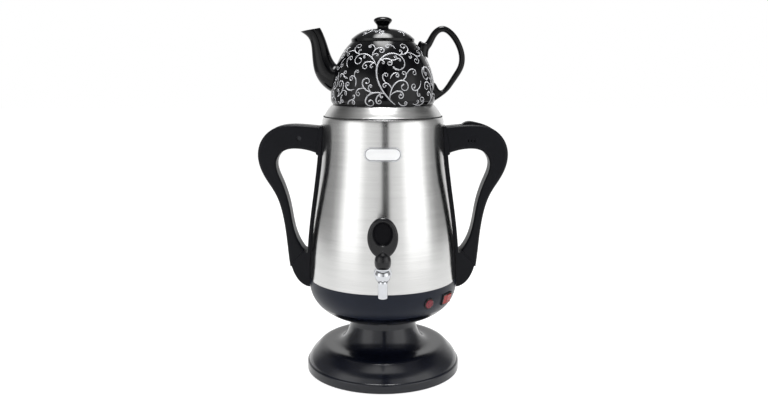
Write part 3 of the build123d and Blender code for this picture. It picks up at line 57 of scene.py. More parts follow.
MIX = "ShaderNodeMix"
MATHS = "ShaderNodeMath"


# =================================================================================================
# Camera
# =================================================================================================
def make_camera():
    """A camera in front of the samovar, a little above it and tipped down."""
    lens_data = bpy.data.cameras.new("product_camera")
    lens_data.sensor_width = 36.0
    lens_data.lens = 36.05
    lens_data.clip_start = 0.05
    lens_data.clip_end = 60.0
    camera = bpy.data.objects.new("product_camera", lens_data)
    bpy.context.scene.collection.objects.link(camera)
    camera.location = (1.4 * MM, -1000 * MM, 397 * MM)
    tipped_down = 9.98
    camera.rotation_euler = (radians(90 - tipped_down), 0, 0)
    bpy.context.scene.camera = camera


# =================================================================================================
# Materials
# =================================================================================================
def srgb(code):
    """A colour written as sRGB hex, as the linear colour that a socket takes."""
    channels = [int(code[place : place + 2], 16) / 255 for place in (1, 3, 5)]
    linear = [c / 12.92 if c <= 0.04045 else ((c + 0.055) / 1.055) ** 2.4 for c in channels]
    return (*linear, 1.0)


def new_material(name):
    """An empty node material with its shader and output."""
    made = bpy.data.materials.new(name)
    made.use_nodes = True
    return made, made.node_tree, made.node_tree.nodes["Principled BSDF"]


def node(tree, kind, settings=None, inputs=None, stops=()):
    """Adds a node, with its settings, with values or links for its inputs, and with the (place,
    colour) stops of its colour band."""
    made = tree.nodes.new(kind)
    for key, value in (settings or {}).items():
        setattr(made, key, value)
    for number, (place, colour) in enumerate(stops):
        band = made.color_ramp.elements
        element = band[number] if number < len(band) else band.new(1.0)
        element.position = place
        element.color = colour
    for key, value in (inputs or {}).items():
        if isinstance(value, bpy.types.NodeSocket):
            tree.links.new(value, made.inputs[key])
        else:
            made.inputs[key].default_value = value
    return made


def grey(value):
    """A plain linear grey, for a ramp that drives a number."""
    return (value, value, value, 1.0)


def toned(colour, share, lift=0.0):
    """A linear colour made darker or paler by a share, and lifted a little."""
    return tuple(min(1.0, share * channel + lift) for channel in colour[:3]) + (1.0,)


def brushed_stainless(name, colour, brush_pitch, roughness, spread):
    """18/8 stainless sheet, belt-brushed round the body: long fine scratches lie level on it, so
    lamps draw tall bands with crisp sides, and the tone shifts a little from scratch to scratch.
    Real scratches are about 0.05 mm wide. They are drawn brush_pitch millimetres wide, to show."""
    made, tree, shader = new_material(name)
    place = node(tree, "ShaderNodeTexCoord").outputs["Object"]
    # Scratches some 140 mm long
    scratch_scale = (7.0, 7.0, 1.0 / (brush_pitch * MM))
    drawn_out = node(
        tree, "ShaderNodeMapping", {}, {"Vector": place, "Scale": scratch_scale}
    ).outputs["Vector"]
    scratch = node(
        tree, NOISE, {}, {"Vector": drawn_out, "Scale": 1.0, "Detail": 3.0, "Roughness": 0.6}
    ).outputs["Fac"]
    # Broad faint clouds left by the belt, some 50 mm long and 8 mm high
    cloud_scale = (20.0, 20.0, 120.0)
    broad = node(
        tree, "ShaderNodeMapping", {}, {"Vector": place, "Scale": cloud_scale}
    ).outputs["Vector"]
    cloud = node(
        tree, NOISE, {}, {"Vector": broad, "Scale": 1.0, "Detail": 2.0}
    ).outputs["Fac"]
    base = srgb(colour)
    tones = [(0.3, toned(base, 0.9)), (0.7, base)]
    streaks = node(tree, BAND, {}, {"Fac": scratch}, tones).outputs[0]
    veils = [(0.35, grey(0.92)), (0.65, grey(1.0))]
    veil = node(tree, BAND, {}, {"Fac": cloud}, veils).outputs[0]
    tint = node(
        tree,
        MIX,
        {"data_type": "RGBA", "blend_type": "MULTIPLY"},
        {"Factor": 0.5, "A": streaks, "B": veil},
    ).outputs[2]
    tree.links.new(tint, shader.inputs["Base Color"])
    polish = [(0.25, grey(roughness - 0.03)), (0.75, grey(roughness + 0.04))]
    dull = node(tree, BAND, {}, {"Fac": scratch}, polish).outputs[0]
    tree.links.new(dull, shader.inputs["Roughness"])
    # The scratches run round the axis, which stands upright through the middle
    parts = node(tree, "ShaderNodeSeparateXYZ", {}, {"Vector": place}).outputs
    backwards = node(
        tree, MATHS, {"operation": "MULTIPLY"}, {0: parts["Y"], 1: -1.0}
    ).outputs[0]
    round_it = node(
        tree, "ShaderNodeCombineXYZ", {}, {"X": backwards, "Y": parts["X"], "Z": 0.0}
    ).outputs[0]
    level = node(
        tree, "ShaderNodeVectorMath", {"operation": "NORMALIZE"}, {0: round_it}
    ).outputs["Vector"]
    tree.links.new(level, shader.inputs["Tangent"])
    shader.inputs["Anisotropic"].default_value = spread
    shader.inputs["Anisotropic Rotation"].default_value = 0.25
    shader.inputs["Metallic"].default_value = 1.0
    return made


def polished_metal(name, colour, roughness):
    """Plated or drawn metal, polished: clear reflections, slightly dulled where it is handled."""
    made, tree, shader = new_material(name)
    place = node(tree, "ShaderNodeTexCoord").outputs["Object"]
    wipe_scale = 140.0  # marks some 7 mm wide
    wipe = node(
        tree, NOISE, {}, {"Vector": place, "Scale": wipe_scale, "Detail": 4.0}
    ).outputs["Fac"]
    base = srgb(colour)
    tones = [(0.35, toned(base, 0.93)), (0.7, base)]
    tone = node(tree, BAND, {}, {"Fac": wipe}, tones).outputs[0]
    tree.links.new(tone, shader.inputs["Base Color"])
    polish = [(0.4, grey(roughness)), (0.8, grey(roughness + 0.06))]
    dull = node(tree, BAND, {}, {"Fac": wipe}, polish).outputs[0]
    tree.links.new(dull, shader.inputs["Roughness"])
    shader.inputs["Metallic"].default_value = 1.0
    return made


def moulded_plastic(name, colour, roughness, grain, relief, sheen):
    """Injection-moulded plastic. Polished moulds leave a faint waviness, eroded moulds a fine
    grain, drawn a few times coarser than the real tenth of a millimetre, to show. Grain and relief
    are its pitch and depth in millimetres, and sheen is how strongly it shines."""
    made, tree, shader = new_material(name)
    place = node(tree, "ShaderNodeTexCoord").outputs["Object"]
    grain_scale = 1.0 / (grain * MM)
    skin = node(
        tree, NOISE, {}, {"Vector": place, "Scale": grain_scale, "Detail": 2.0, "Roughness": 0.5}
    ).outputs["Fac"]
    flow_scale = 22.0  # flow marks some 45 mm wide
    flow = node(
        tree, NOISE, {}, {"Vector": place, "Scale": flow_scale, "Detail": 3.0}
    ).outputs["Fac"]
    base = srgb(colour)
    tones = [(0.35, base), (0.7, toned(base, 1.16, 0.0006))]
    tone = node(tree, BAND, {}, {"Fac": flow}, tones).outputs[0]
    tree.links.new(tone, shader.inputs["Base Color"])
    polish = [(0.3, grey(roughness * 0.88)), (0.7, grey(min(1.0, roughness * 1.14)))]
    dull = node(tree, BAND, {}, {"Fac": flow}, polish).outputs[0]
    tree.links.new(dull, shader.inputs["Roughness"])
    bump = node(
        tree, "ShaderNodeBump", {}, {"Height": skin, "Strength": 0.5, "Distance": relief * MM}
    )
    tree.links.new(bump.outputs["Normal"], shader.inputs["Normal"])
    shader.inputs["IOR"].default_value = 1.53
    shader.inputs["Specular IOR Level"].default_value = sheen
    return made


def lever_plastic(name, colour, dish):
    """Nylon lever, moulded with a polished outside and a matt thumb dish. Inside the dish its
    reflection is also turned far down, as painted shade, so the recess stays deep black beside its
    shiny rim. Dish is its middle height and its half width and height in millimetres."""
    made, tree, shader = new_material(name)
    place = node(tree, "ShaderNodeTexCoord").outputs["Object"]
    middle, half_width, half_height = dish
    spread = (1 / (half_width * MM), 0.0, 1 / (half_height * MM))
    shift = (0.0, 0.0, -middle / half_height)
    inside = node(
        tree, "ShaderNodeMapping", {}, {"Vector": place, "Location": shift, "Scale": spread}
    ).outputs[0]
    # 1 at the edge of the dish, which is an oval
    reach = node(
        tree, "ShaderNodeVectorMath", {"operation": "LENGTH"}, {0: inside}
    ).outputs["Value"]
    eroded_scale = 2200.0  # a grain of some 0.45 mm, a few times coarser than the real one
    eroded = node(
        tree, NOISE, {}, {"Vector": place, "Scale": eroded_scale, "Detail": 2.0}
    ).outputs["Fac"]
    tone = [(0.4, grey(0.4)), (0.6, grey(1.0))]
    specks = node(tree, BAND, {}, {"Fac": eroded}, tone).outputs[0]
    base = node(
        tree,
        MIX,
        {"data_type": "RGBA", "blend_type": "MULTIPLY"},
        {"Factor": 0.5, "A": srgb(colour), "B": specks},
    ).outputs[2]
    tree.links.new(base, shader.inputs["Base Color"])
    # Painted shade: inside the dish the reflection drops below any real plastic's, so the recess
    # stays black
    shine = [(0.9, grey(0.07)), (1.0, grey(0.34))]
    level = node(tree, BAND, {}, {"Fac": reach}, shine).outputs[0]
    tree.links.new(level, shader.inputs["Specular IOR Level"])
    polish = [(0.9, grey(0.42)), (1.0, grey(0.2))]
    dull = node(tree, BAND, {}, {"Fac": reach}, polish).outputs[0]
    tree.links.new(dull, shader.inputs["Roughness"])
    shader.inputs["IOR"].default_value = 1.53
    return made


def glazed_ceramic(name, colour, thin_colour):
    """Stoneware under a thick black glaze: a clear glassy coat that pools in slow waves, with pin
    holes and a hair of brown where it runs thin."""
    made, tree, shader = new_material(name)
    place = node(tree, "ShaderNodeTexCoord").outputs["Object"]
    pool_scale = 60.0  # waves some 17 mm wide
    pool = node(
        tree, NOISE, {}, {"Vector": place, "Scale": pool_scale, "Detail": 2.0}
    ).outputs["Fac"]
    speck_scale = 900.0  # pin holes some 1 mm apart
    speck = node(
        tree, NOISE, {}, {"Vector": place, "Scale": speck_scale, "Detail": 3.0}
    ).outputs["Fac"]
    runs_thin = [(0.66, grey(0.0)), (0.74, grey(0.4))]
    thinness = node(tree, BAND, {}, {"Fac": speck}, runs_thin).outputs[0]
    coat = node(
        tree,
        MIX,
        {"data_type": "RGBA"},
        {"Factor": thinness, "A": srgb(colour), "B": srgb(thin_colour)},
    ).outputs[2]
    tree.links.new(coat, shader.inputs["Base Color"])
    polish = [(0.3, grey(0.09)), (0.7, grey(0.15))]
    gloss = node(tree, BAND, {}, {"Fac": pool}, polish).outputs[0]
    tree.links.new(gloss, shader.inputs["Roughness"])
    bump = node(
        tree, "ShaderNodeBump", {}, {"Height": pool, "Strength": 0.35, "Distance": 0.12 * MM}
    )
    tree.links.new(bump.outputs["Normal"], shader.inputs["Normal"])
    shader.inputs["IOR"].default_value = 1.52
    shader.inputs["Specular IOR Level"].default_value = 0.2
    return made


def silver_enamel(name, colour):
    """Silver-grey overglaze enamel, silk-screened and fired: thin, satin and slightly uneven."""
    made, tree, shader = new_material(name)
    place = node(tree, "ShaderNodeTexCoord").outputs["Object"]
    fired_scale = 420.0  # patches some 2.4 mm wide
    fired = node(
        tree, NOISE, {}, {"Vector": place, "Scale": fired_scale, "Detail": 4.0}
    ).outputs["Fac"]
    base = srgb(colour)
    tones = [(0.3, toned(base, 0.72)), (0.62, base)]
    tone = node(tree, BAND, {}, {"Fac": fired}, tones).outputs[0]
    tree.links.new(tone, shader.inputs["Base Color"])
    polish = [(0.3, grey(0.45)), (0.7, grey(0.3))]
    satin = node(tree, BAND, {}, {"Fac": fired}, polish).outputs[0]
    tree.links.new(satin, shader.inputs["Roughness"])
    return made


def soft_rubber(name, colour):
    """Moulded rubber: matt, with a fine bloom on it."""
    made, tree, shader = new_material(name)
    place = node(tree, "ShaderNodeTexCoord").outputs["Object"]
    bloom_scale = 700.0  # flecks some 1.4 mm wide
    bloom = node(
        tree, NOISE, {}, {"Vector": place, "Scale": bloom_scale, "Detail": 3.0}
    ).outputs["Fac"]
    base = srgb(colour)
    tones = [(0.4, base), (0.75, toned(base, 1.25, 0.004))]
    tone = node(tree, BAND, {}, {"Fac": bloom}, tones).outputs[0]
    tree.links.new(tone, shader.inputs["Base Color"])
    polish = [(0.3, grey(0.7)), (0.7, grey(0.85))]
    dull = node(tree, BAND, {}, {"Fac": bloom}, polish).outputs[0]
    tree.links.new(dull, shader.inputs["Roughness"])
    return made


def tinted_lens(name, colour, deep, glow):
    """Clear-tinted polycarbonate over a white reflector: a deep even colour with soft cloudy
    depth, and glassy gloss on top."""
    made, tree, shader = new_material(name)
    place = node(tree, "ShaderNodeTexCoord").outputs["Object"]
    cloud_scale = 260.0  # clouds some 4 mm wide
    cloud = node(
        tree, NOISE, {}, {"Vector": place, "Scale": cloud_scale, "Detail": 2.0}
    ).outputs["Fac"]
    tones = [(0.3, srgb(deep)), (0.7, srgb(colour))]
    depth = node(tree, BAND, {}, {"Fac": cloud}, tones).outputs[0]
    tree.links.new(depth, shader.inputs["Base Color"])
    shader.inputs["Roughness"].default_value = 0.12
    shader.inputs["IOR"].default_value = 1.58
    shader.inputs["Specular IOR Level"].default_value = 0.3
    shader.inputs["Emission Color"].default_value = srgb(colour)
    shader.inputs["Emission Strength"].default_value = glow
    return made


def plate_enamel(name, colour, line):
    """White enamel in a polished nickel plate: a clean pale field inside a fine grey border."""
    made, tree, shader = new_material(name)
    place = node(tree, "ShaderNodeTexCoord").outputs["Object"]
    parts = node(tree, "ShaderNodeSeparateXYZ", {}, {"Vector": place}).outputs
    low, high = (Vector(corner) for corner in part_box("nameplate"))
    end_radius = (high.z - low.z) / 2
    straight = (high.x - low.x) / 2 - end_radius
    # Distance from the middle line of the plate, which is straight between its round ends
    along = node(tree, MATHS, {"operation": "ABSOLUTE"}, {0: parts["X"]}).outputs[0]
    past = node(
        tree, MATHS, {"operation": "SUBTRACT"}, {0: along, 1: straight}
    ).outputs[0]
    past = node(tree, MATHS, {"operation": "MAXIMUM"}, {0: past, 1: 0.0}).outputs[0]
    level = node(
        tree, MATHS, {"operation": "SUBTRACT"}, {0: parts["Z"], 1: (low.z + high.z) / 2}
    ).outputs[0]
    spoke = node(tree, "ShaderNodeCombineXYZ", {}, {"X": past, "Y": level, "Z": 0.0}).outputs[0]
    reach = node(
        tree, "ShaderNodeVectorMath", {"operation": "LENGTH"}, {0: spoke}
    ).outputs["Value"]
    share = node(
        tree, MATHS, {"operation": "DIVIDE"}, {0: reach, 1: end_radius}
    ).outputs[0]
    # The enamel field, its grey border line, and the bare rim of the plate
    field = srgb(colour)
    border = srgb(line)
    tones = [
        (0.0, field),
        (0.7, field),
        (0.78, border),
        (0.86, border),
        (0.9, field),
        (1.0, border),
    ]
    tone = node(tree, BAND, {}, {"Fac": share}, tones).outputs[0]
    tree.links.new(tone, shader.inputs["Base Color"])
    bare = [(0.74, grey(0.0)), (0.8, grey(0.8))]
    metal = node(tree, BAND, {}, {"Fac": share}, bare).outputs[0]
    tree.links.new(metal, shader.inputs["Metallic"])
    shader.inputs["Roughness"].default_value = 0.22
    return made


# The thumb dish in the tap's lever, where painted shade darkens the recess, in millimetres: height
# of its middle, half width, half height
dish_shade_oval = (211.9, 12.0, 14.6)

finishes = {
    "body_steel": brushed_stainless(
        "brushed_stainless_body", "#cfcfce", brush_pitch=0.45, roughness=0.2, spread=0.75
    ),
    "lid_steel": brushed_stainless(
        "brushed_stainless_lid", "#cfcfce", brush_pitch=0.4, roughness=0.3, spread=0.3
    ),
    "plate_steel": plate_enamel("white_enamel_on_nickel", "#e9eaeb", "#8d8f92"),
    "plain_steel": polished_metal("zinc_plated_steel", "#9d9ea0", roughness=0.3),
    "dark_steel": polished_metal("black_zinc_screw", "#3c3d40", roughness=0.4),
    "bright_steel": polished_metal("bright_stainless", "#bcbcba", roughness=0.2),
    "chrome": polished_metal("chrome_plated_brass", "#c8cace", roughness=0.05),
    "gloss_plastic": moulded_plastic(
        "gloss_black_abs", "#0a0d17", roughness=0.17, grain=9.0, relief=0.02, sheen=0.4
    ),
    "pan_plastic": moulded_plastic(
        "gloss_black_abs_pan", "#080a12", roughness=0.2, grain=9.0, relief=0.02, sheen=0.3
    ),
    "satin_plastic": moulded_plastic(
        "satin_black_abs", "#111622", roughness=0.34, grain=0.5, relief=0.03, sheen=0.17
    ),
    "grip_plastic": moulded_plastic(
        "satin_black_nylon", "#0a0b10", roughness=0.38, grain=0.4, relief=0.03, sheen=0.12
    ),
    "lever_plastic": lever_plastic("gloss_black_nylon", "#0a0a0e", dish_shade_oval),
    "housing_plastic": moulded_plastic(
        "matt_black_polyamide", "#0e0e10", roughness=0.5, grain=0.4, relief=0.02, sheen=0.3
    ),
    "glaze": glazed_ceramic("black_glaze", "#050507", "#2b2522"),
    "enamel": silver_enamel("silver_enamel", "#c3c4c8"),
    "rubber": soft_rubber("black_rubber", "#151516"),
    "silicone": soft_rubber("grey_silicone", "#8d8c88"),
    "aluminium": polished_metal("cast_aluminium", "#a9abad", roughness=0.42),
    "brass": polished_metal("tinned_brass", "#b8a26a", roughness=0.25),
    "lamp_red": tinted_lens("red_polycarbonate_lamp", "#7e1b2b", "#420c16", glow=0.02),
    # The rocker is no lamp: its glow is painted light that brightens its red
    "rocker_red": tinted_lens("red_polycarbonate_rocker_painted_glow", "#a01c17", "#6a110f", glow=0.08),
}

finish_of_node = {
    "pedestal": "gloss_plastic",
    "base_cover": "satin_plastic",
    "foot_ring": "rubber",
    "base_cover_screws": "plain_steel",
    "neck_screws": "plain_steel",
    "under_pan": "pan_plastic",
    "pan_screws": "plain_steel",
    "base_bowl": "satin_plastic",
    "lamp_bezel": "housing_plastic",
    "lamp_lens": "lamp_red",
    "switch_frame": "housing_plastic",
    "power_rocker": "rocker_red",
    "power_inlet": "housing_plastic",
    "inlet_pins": "brass",
    "inlet_screws": "plain_steel",
    "steel_body": "body_steel",
    "tank_floor": "bright_steel",
    "floor_studs": "plain_steel",
    "heater_plate": "aluminium",
    "heating_element": "plain_steel",
    "boil_thermostat": "housing_plastic",
    "dry_boil_cutout": "housing_plastic",
    "samovar_lid": "lid_steel",
    "lid_skirt": "silicone",
    "teapot_body": "glaze",
    "teapot_lid": "glaze",
    "left_handle_mount": "grip_plastic",
    "right_handle_mount": "grip_plastic",
    "mount_studs": "plain_steel",
    "mount_nuts": "plain_steel",
    "left_grip_front": "grip_plastic",
    "left_grip_back": "grip_plastic",
    "right_grip_front": "grip_plastic",
    "right_grip_back": "grip_plastic",
    "grip_screws": "dark_steel",
    "boil_rocker": "grip_plastic",
    "boil_switch": "housing_plastic",
    "tap_body": "chrome",
    "tap_gaskets": "silicone",
    "tap_nut": "chrome",
    "tap_bonnet": "chrome",
    "tap_seat_cup": "silicone",
    "tap_stem": "bright_steel",
    "tap_spring": "bright_steel",
    "tap_pin": "bright_steel",
    "tap_handle": "lever_plastic",
    "nameplate": "plate_steel",
}


def paint(obj, finish):
    """Gives an object one finish all over."""
    obj.data.materials.clear()
    obj.data.materials.append(finishes[finish])


# =================================================================================================
# Scroll ornament on the teapot and on its lid
# =================================================================================================
# The pot's outside, in millimetres: its radius at its widest place, the height of that place, and
# the height of the dome above it. Below it the wall draws in by pot_tuck times the distance squared
pot_radius = 67.0
pot_widest = 364.0
pot_dome = 85.0
pot_tuck = 0.015
# The lid's outside from its rim towards its knob: radius and height in millimetres
lid_profile = [(38.6, 437.6), (32.8, 441.7), (27.5, 444.5), (22.0, 446.7), (14.0, 448.3)]
# How sharply a stroke bends at its root, how much more at its tip, and how late that comes
root_bend, tip_bend, bend_onset = 0.25, 2.9, 1.9


def pot_skin(climb):
    """Radius and height on the pot's dome, climb millimetres of wall above its widest place."""
    if climb < 0:
        return pot_radius - pot_tuck * climb**2, pot_widest + climb
    # The turn of the dome's oval that climb makes: a first guess, made better four times
    guessed_radius = 80.0
    turn = climb / guessed_radius
    for _ in range(4):
        mid = turn / 2
        turn = climb / sqrt((pot_radius * sin(mid)) ** 2 + (pot_dome * cos(mid)) ** 2)
    return pot_radius * cos(turn), pot_widest + pot_dome * sin(turn)


def lid_skin(climb):
    """Radius and height on the lid's dome, climb millimetres in from its rim."""
    left = climb
    for start, end in zip(lid_profile, lid_profile[1:]):
        step = sqrt((end[0] - start[0]) ** 2 + (end[1] - start[1]) ** 2)
        if left <= step:
            break
        left -= step
    share = min(1.0, left / step)
    return tuple(a + (b - a) * share for a, b in zip(start, end))


class ScrollBand:
    """Scrolls drawn on one turned skin, kept apart from each other, inside the band and out of
    the rooms of keep_out. A place on the skin is an azimuth and a climb in millimetres of wall."""

    def __init__(self, skin, low, high, gap, seed, keep_out=()):
        self.skin = skin
        self.low = low
        self.high = high
        self.gap = gap
        self.dice = Random(seed)
        self.strokes = []
        self.taken = {}
        self.keep_out = keep_out

    def spot(self, azimuth, climb):
        """The place in space of a place on the skin."""
        reach, rise = self.skin(climb)
        return Vector((reach * cos(azimuth), reach * sin(azimuth), rise))

    def trace(self, azimuth, climb, heading, length, curl, tightness):
        """Walks over the skin with a curvature that grows towards the tip, as a volute does."""
        fewest_steps, smallest_reach = 12, 6.0
        steps = max(fewest_steps, int(length))
        stride = length / steps
        points = []
        for step in range(steps + 1):
            share = step / steps
            points.append((azimuth, climb))
            azimuth += cos(heading) * stride / max(smallest_reach, self.skin(climb)[0])
            climb += sin(heading) * stride
            bend = root_bend + tip_bend * share**bend_onset
            heading += curl * stride * tightness / length * bend
        return points

    def free(self, points, clear_from):
        """True if a stroke stays in the band, out of the rooms kept, and, from the point number
        clear_from on, off the strokes drawn."""
        for place, (azimuth, climb) in enumerate(points):
            if not self.low < climb < self.high:
                return False
            spot = self.spot(azimuth, climb)
            for centre, size in self.keep_out:
                if (spot - centre).length < size:
                    return False
            if place < clear_from:
                continue
            for near in product((-1, 0, 1), repeat=3):
                for other in self.taken.get(self.cell(spot, near), ()):
                    if (other - spot).length < self.gap:
                        return False
        return True

    def cell(self, spot, shift=(0, 0, 0)):
        """The cube, one gap wide, that a place is in, or a neighbour of that cube."""
        return tuple(int(spot[axis] // self.gap) + shift[axis] for axis in range(3))

    def draw(self, points, width):
        """Keeps a stroke and the room that it takes."""
        self.strokes.append((points, width))
        for azimuth, climb in points[::2]:
            spot = self.spot(azimuth, climb)
            self.taken.setdefault(self.cell(spot), []).append(spot)

    def branch(self, points, width, curl, lengths, depth):
        """Lets curls spring from a stroke on both sides, each with finer curls of its own. A curl
        takes the first of the lengths that finds room."""
        if depth == 0:
            return
        points_per_curl = 12
        first_root, root_spread = 0.08, 0.7
        thinner, shorter = 0.88, 0.68
        count = max(2, int(len(points) / points_per_curl))
        for number in range(count):
            root = int(len(points) * (first_root + root_spread * number / count))
            azimuth, climb = points[root]
            ahead = points[min(root + 1, len(points) - 1)]
            reach = self.skin(climb)[0]
            heading = atan2(ahead[1] - climb, (ahead[0] - azimuth) * reach)
            side = -curl if number % 2 else curl
            for length in lengths:
                size = length * self.dice.uniform(0.88, 1.1)
                lean = heading + side * self.dice.uniform(0.35, 0.8)
                tightness = self.dice.uniform(6.0, 7.2)
                path = self.trace(azimuth, climb, lean, size, side, tightness)
                past_root = int(len(path) * 0.14) + 4
                if self.free(path, past_root):
                    self.draw(path, width * thinner)
                    finer = [one * shorter for one in lengths]
                    self.branch(path, width * thinner, side, finer, depth - 1)
                    break


def swelling(share):
    """Width of a stroke along its way: thin at its root, full at a third, fine before its drop."""
    drop_start, drop_end, drop_span, drop_width = 0.93, 1.06, 0.2, 1.25
    if share > drop_start:
        return drop_width * sin(pi * (drop_end - share) / drop_span)
    thin, full = 0.42, 0.66
    return thin + full * sin(pi * min(1.0, share * 1.05) ** 0.75)


def wires(name, lines, roundness):
    """Bends round wires along lines of (place, radius) points, the radius in millimetres."""
    bpy.ops.object.select_all(action="DESELECT")
    bpy.ops.curve.primitive_bezier_curve_add(location=(0, 0, 0))
    wire = bpy.context.object
    wire.name = name
    wire.data.splines.clear()
    wire.data.dimensions = "3D"
    wire.data.bevel_depth = MM
    wire.data.bevel_resolution = roundness
    wire.data.use_fill_caps = True
    for points in lines:
        line = wire.data.splines.new("POLY")
        line.points.add(len(points) - 1)
        for number, (place, radius) in enumerate(points):
            line.points[number].co = (*place, 1.0)
            line.points[number].radius = radius
    bpy.ops.object.convert(target="MESH")
    return wire


def turn_outward(piece):
    """Turns a closed piece's faces outward and smooths them."""
    bpy.ops.object.mode_set(mode="EDIT")
    bpy.ops.mesh.select_all(action="SELECT")
    bpy.ops.mesh.normals_make_consistent(inside=False)
    bpy.ops.object.mode_set(mode="OBJECT")
    bpy.ops.object.shade_smooth()
    piece.select_set(False)


def pen_strokes(name, band, relief, finish, body, carrier):
    """Draws a band's strokes as round wires, and presses them flat on the piece that carries them,
    so that they stand proud by relief, a share of their own thickness."""
    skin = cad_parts[carrier]
    lines = []
    for points, width in band.strokes:
        line = []
        for number, (azimuth, climb) in enumerate(points):
            _, spot, _, _ = skin.closest_point_on_mesh(band.spot(azimuth, climb) * MM)
            line.append((spot, width / 2 * swelling(number / (len(points) - 1))))
        lines.append(line)
    wire = wires(name, lines, 0)
    press = wire.modifiers.new("press", "SHRINKWRAP")
    press.target = skin
    press.wrap_method = "NEAREST_SURFACEPOINT"
    press.wrap_mode = "ON_SURFACE"
    pressed = wire.vertex_groups.new(name="pressed")
    pressed.add(range(len(wire.data.vertices)), 1.0 - relief, "REPLACE")
    press.vertex_group = "pressed"
    bpy.ops.object.modifier_apply(modifier="press")
    turn_outward(wire)
    wire.vertex_groups.clear()
    paint(wire, finish)
    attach(wire, body)


def teapot_ornament():
    """Vines that rise round the pot's dome, with curls on both sides of every stem."""
    # Middle and radius in millimetres of the rooms of the spout and of the handle's two ends
    keep_out = [
        (Vector((-66.0, 0.0, 389.0)), 25.0),
        (Vector((53.0, 0.0, 416.0)), 12.0),
        (Vector((66.0, 0.0, 369.0)), 14.0),
    ]
    band = ScrollBand(pot_skin, low=-10.5, high=71.0, gap=3.1, seed=11, keep_out=keep_out)
    stems, lean = 8, 50
    foot, top = -9.0, 68.0
    vine_lengths = (126.0, 108.0, 90.0, 72.0, 54.0, 40.0)
    curl_lengths = [62.0, 52.0, 43.0, 35.0, 28.0, 21.0, 15.0]
    for number in range(stems):
        azimuth = 2 * pi * (number + 0.3) / stems - pi / 2
        curl = 1 if number % 2 else -1
        for length in vine_lengths:
            heading = radians(90 - curl * lean) + band.dice.uniform(-0.1, 0.1)
            path = band.trace(azimuth, foot, heading, length, curl, tightness=5.4)
            if band.free(path, clear_from=4):
                band.draw(path, width=2.15)
                band.branch(path, 2.0, curl, curl_lengths, depth=3)
                break
    # Short curls fill the places that the vines leave, and shorter ones the places left by those
    for tries, lengths in ((900, (46.0, 38.0, 31.0, 25.0)), (900, (24.0, 20.0))):
        for _ in range(tries):
            azimuth = band.dice.uniform(0, 2 * pi)
            climb = band.dice.uniform(foot, top)
            curl = band.dice.choice((-1, 1))
            heading = band.dice.uniform(0, 2 * pi)
            length = band.dice.choice(lengths)
            path = band.trace(azimuth, climb, heading, length, curl, tightness=7.0)
            if band.free(path, clear_from=0):
                band.draw(path, width=1.7)
                band.branch(path, 1.6, curl, [18.0, 13.0], depth=1)
    pen_strokes("teapot_scrolls", band, 0.12, "enamel", "teapot", "teapot_body")


def lid_ornament():
    """A wreath of small curls round the lid."""
    band = ScrollBand(lid_skin, low=1.0, high=23.0, gap=2.2, seed=5)
    stems, lean, foot = 8, 55, 2.5
    for number in range(stems):
        azimuth = 2 * pi * number / stems
        curl = 1 if number % 2 else -1
        heading = radians(90 - curl * lean)
        for length in (38.0, 30.0, 22.0):
            path = band.trace(azimuth, foot, heading, length, curl, tightness=6.8)
            if band.free(path, clear_from=3):
                band.draw(path, width=1.9)
                band.branch(path, 1.8, curl, [19.0, 14.0, 10.0], depth=2)
                break
    pen_strokes("lid_scrolls", band, 0.12, "enamel", "teapot_cover", "teapot_lid")


# =================================================================================================
# Studio
# =================================================================================================
# The light tent's radius and height, in metres
tent_radius = 1.7
tent_top = 2.4


def white_for_the_eye(tree, strength):
    """A factor that is strength for rays from the camera, off gloss and through glass, and 0 for
    the rays that light things."""
    path = node(tree, "ShaderNodeLightPath").outputs
    shine = node(
        tree,
        MATHS,
        {"operation": "MAXIMUM"},
        {0: path["Is Glossy Ray"], 1: path["Is Transmission Ray"]},
    ).outputs[0]
    seen = node(
        tree, MATHS, {"operation": "MAXIMUM"}, {0: path["Is Camera Ray"], 1: shine}
    ).outputs[0]
    return node(
        tree, MATHS, {"operation": "MULTIPLY"}, {0: seen, 1: strength}
    ).outputs[0]


def make_world():
    """A white sky for the eye and for shine, and an even pale one for light."""
    world = bpy.data.worlds.new("white_sky")
    bpy.context.scene.world = world
    world.use_nodes = True
    tree = world.node_tree
    tree.nodes.clear()
    plain = node(tree, "ShaderNodeBackground", {}, {"Color": grey(1.0), "Strength": 0.55})
    white = node(tree, "ShaderNodeBackground", {}, {"Color": grey(1.0), "Strength": 1.0})
    mix = node(
        tree,
        "ShaderNodeMixShader",
        {},
        {0: white_for_the_eye(tree, 1.0), 1: plain.outputs[0], 2: white.outputs[0]},
    )
    node(tree, "ShaderNodeOutputWorld", {}, {"Surface": mix.outputs[0]})


def make_floor():
    """A plain pale table that keeps the samovar's shadow."""
    bpy.ops.object.select_all(action="DESELECT")
    bpy.ops.mesh.primitive_plane_add(size=14.0, location=(0, 0, 0))
    floor = bpy.context.object
    floor.name = "table"
    made, tree, shader = new_material("white_table")
    place = node(tree, "ShaderNodeTexCoord").outputs["Object"]
    tooth_scale = 160.0  # a tooth of some 6 mm
    tooth = node(
        tree, NOISE, {}, {"Vector": place, "Scale": tooth_scale, "Detail": 3.0}
    ).outputs["Fac"]
    tones = [(0.3, grey(0.86)), (0.7, grey(0.88))]
    tone = node(tree, BAND, {}, {"Fac": tooth}, tones).outputs[0]
    tree.links.new(tone, shader.inputs["Base Color"])
    shader.inputs["Roughness"].default_value = 0.6
    glow = node(tree, "ShaderNodeEmission", {}, {"Color": grey(1.0), "Strength": 1.26})
    mix = node(
        tree,
        "ShaderNodeMixShader",
        {},
        {0: white_for_the_eye(tree, 0.72), 1: shader.outputs[0], 2: glow.outputs[0]},
    )
    tree.links.new(mix.outputs[0], tree.nodes["Material Output"].inputs["Surface"])
    floor.data.materials.append(made)


def glowing_cloth(name):
    """An empty node material for a cloth that glows."""
    made = bpy.data.materials.new(name)
    made.use_nodes = True
    made.node_tree.nodes.clear()
    return made, made.node_tree


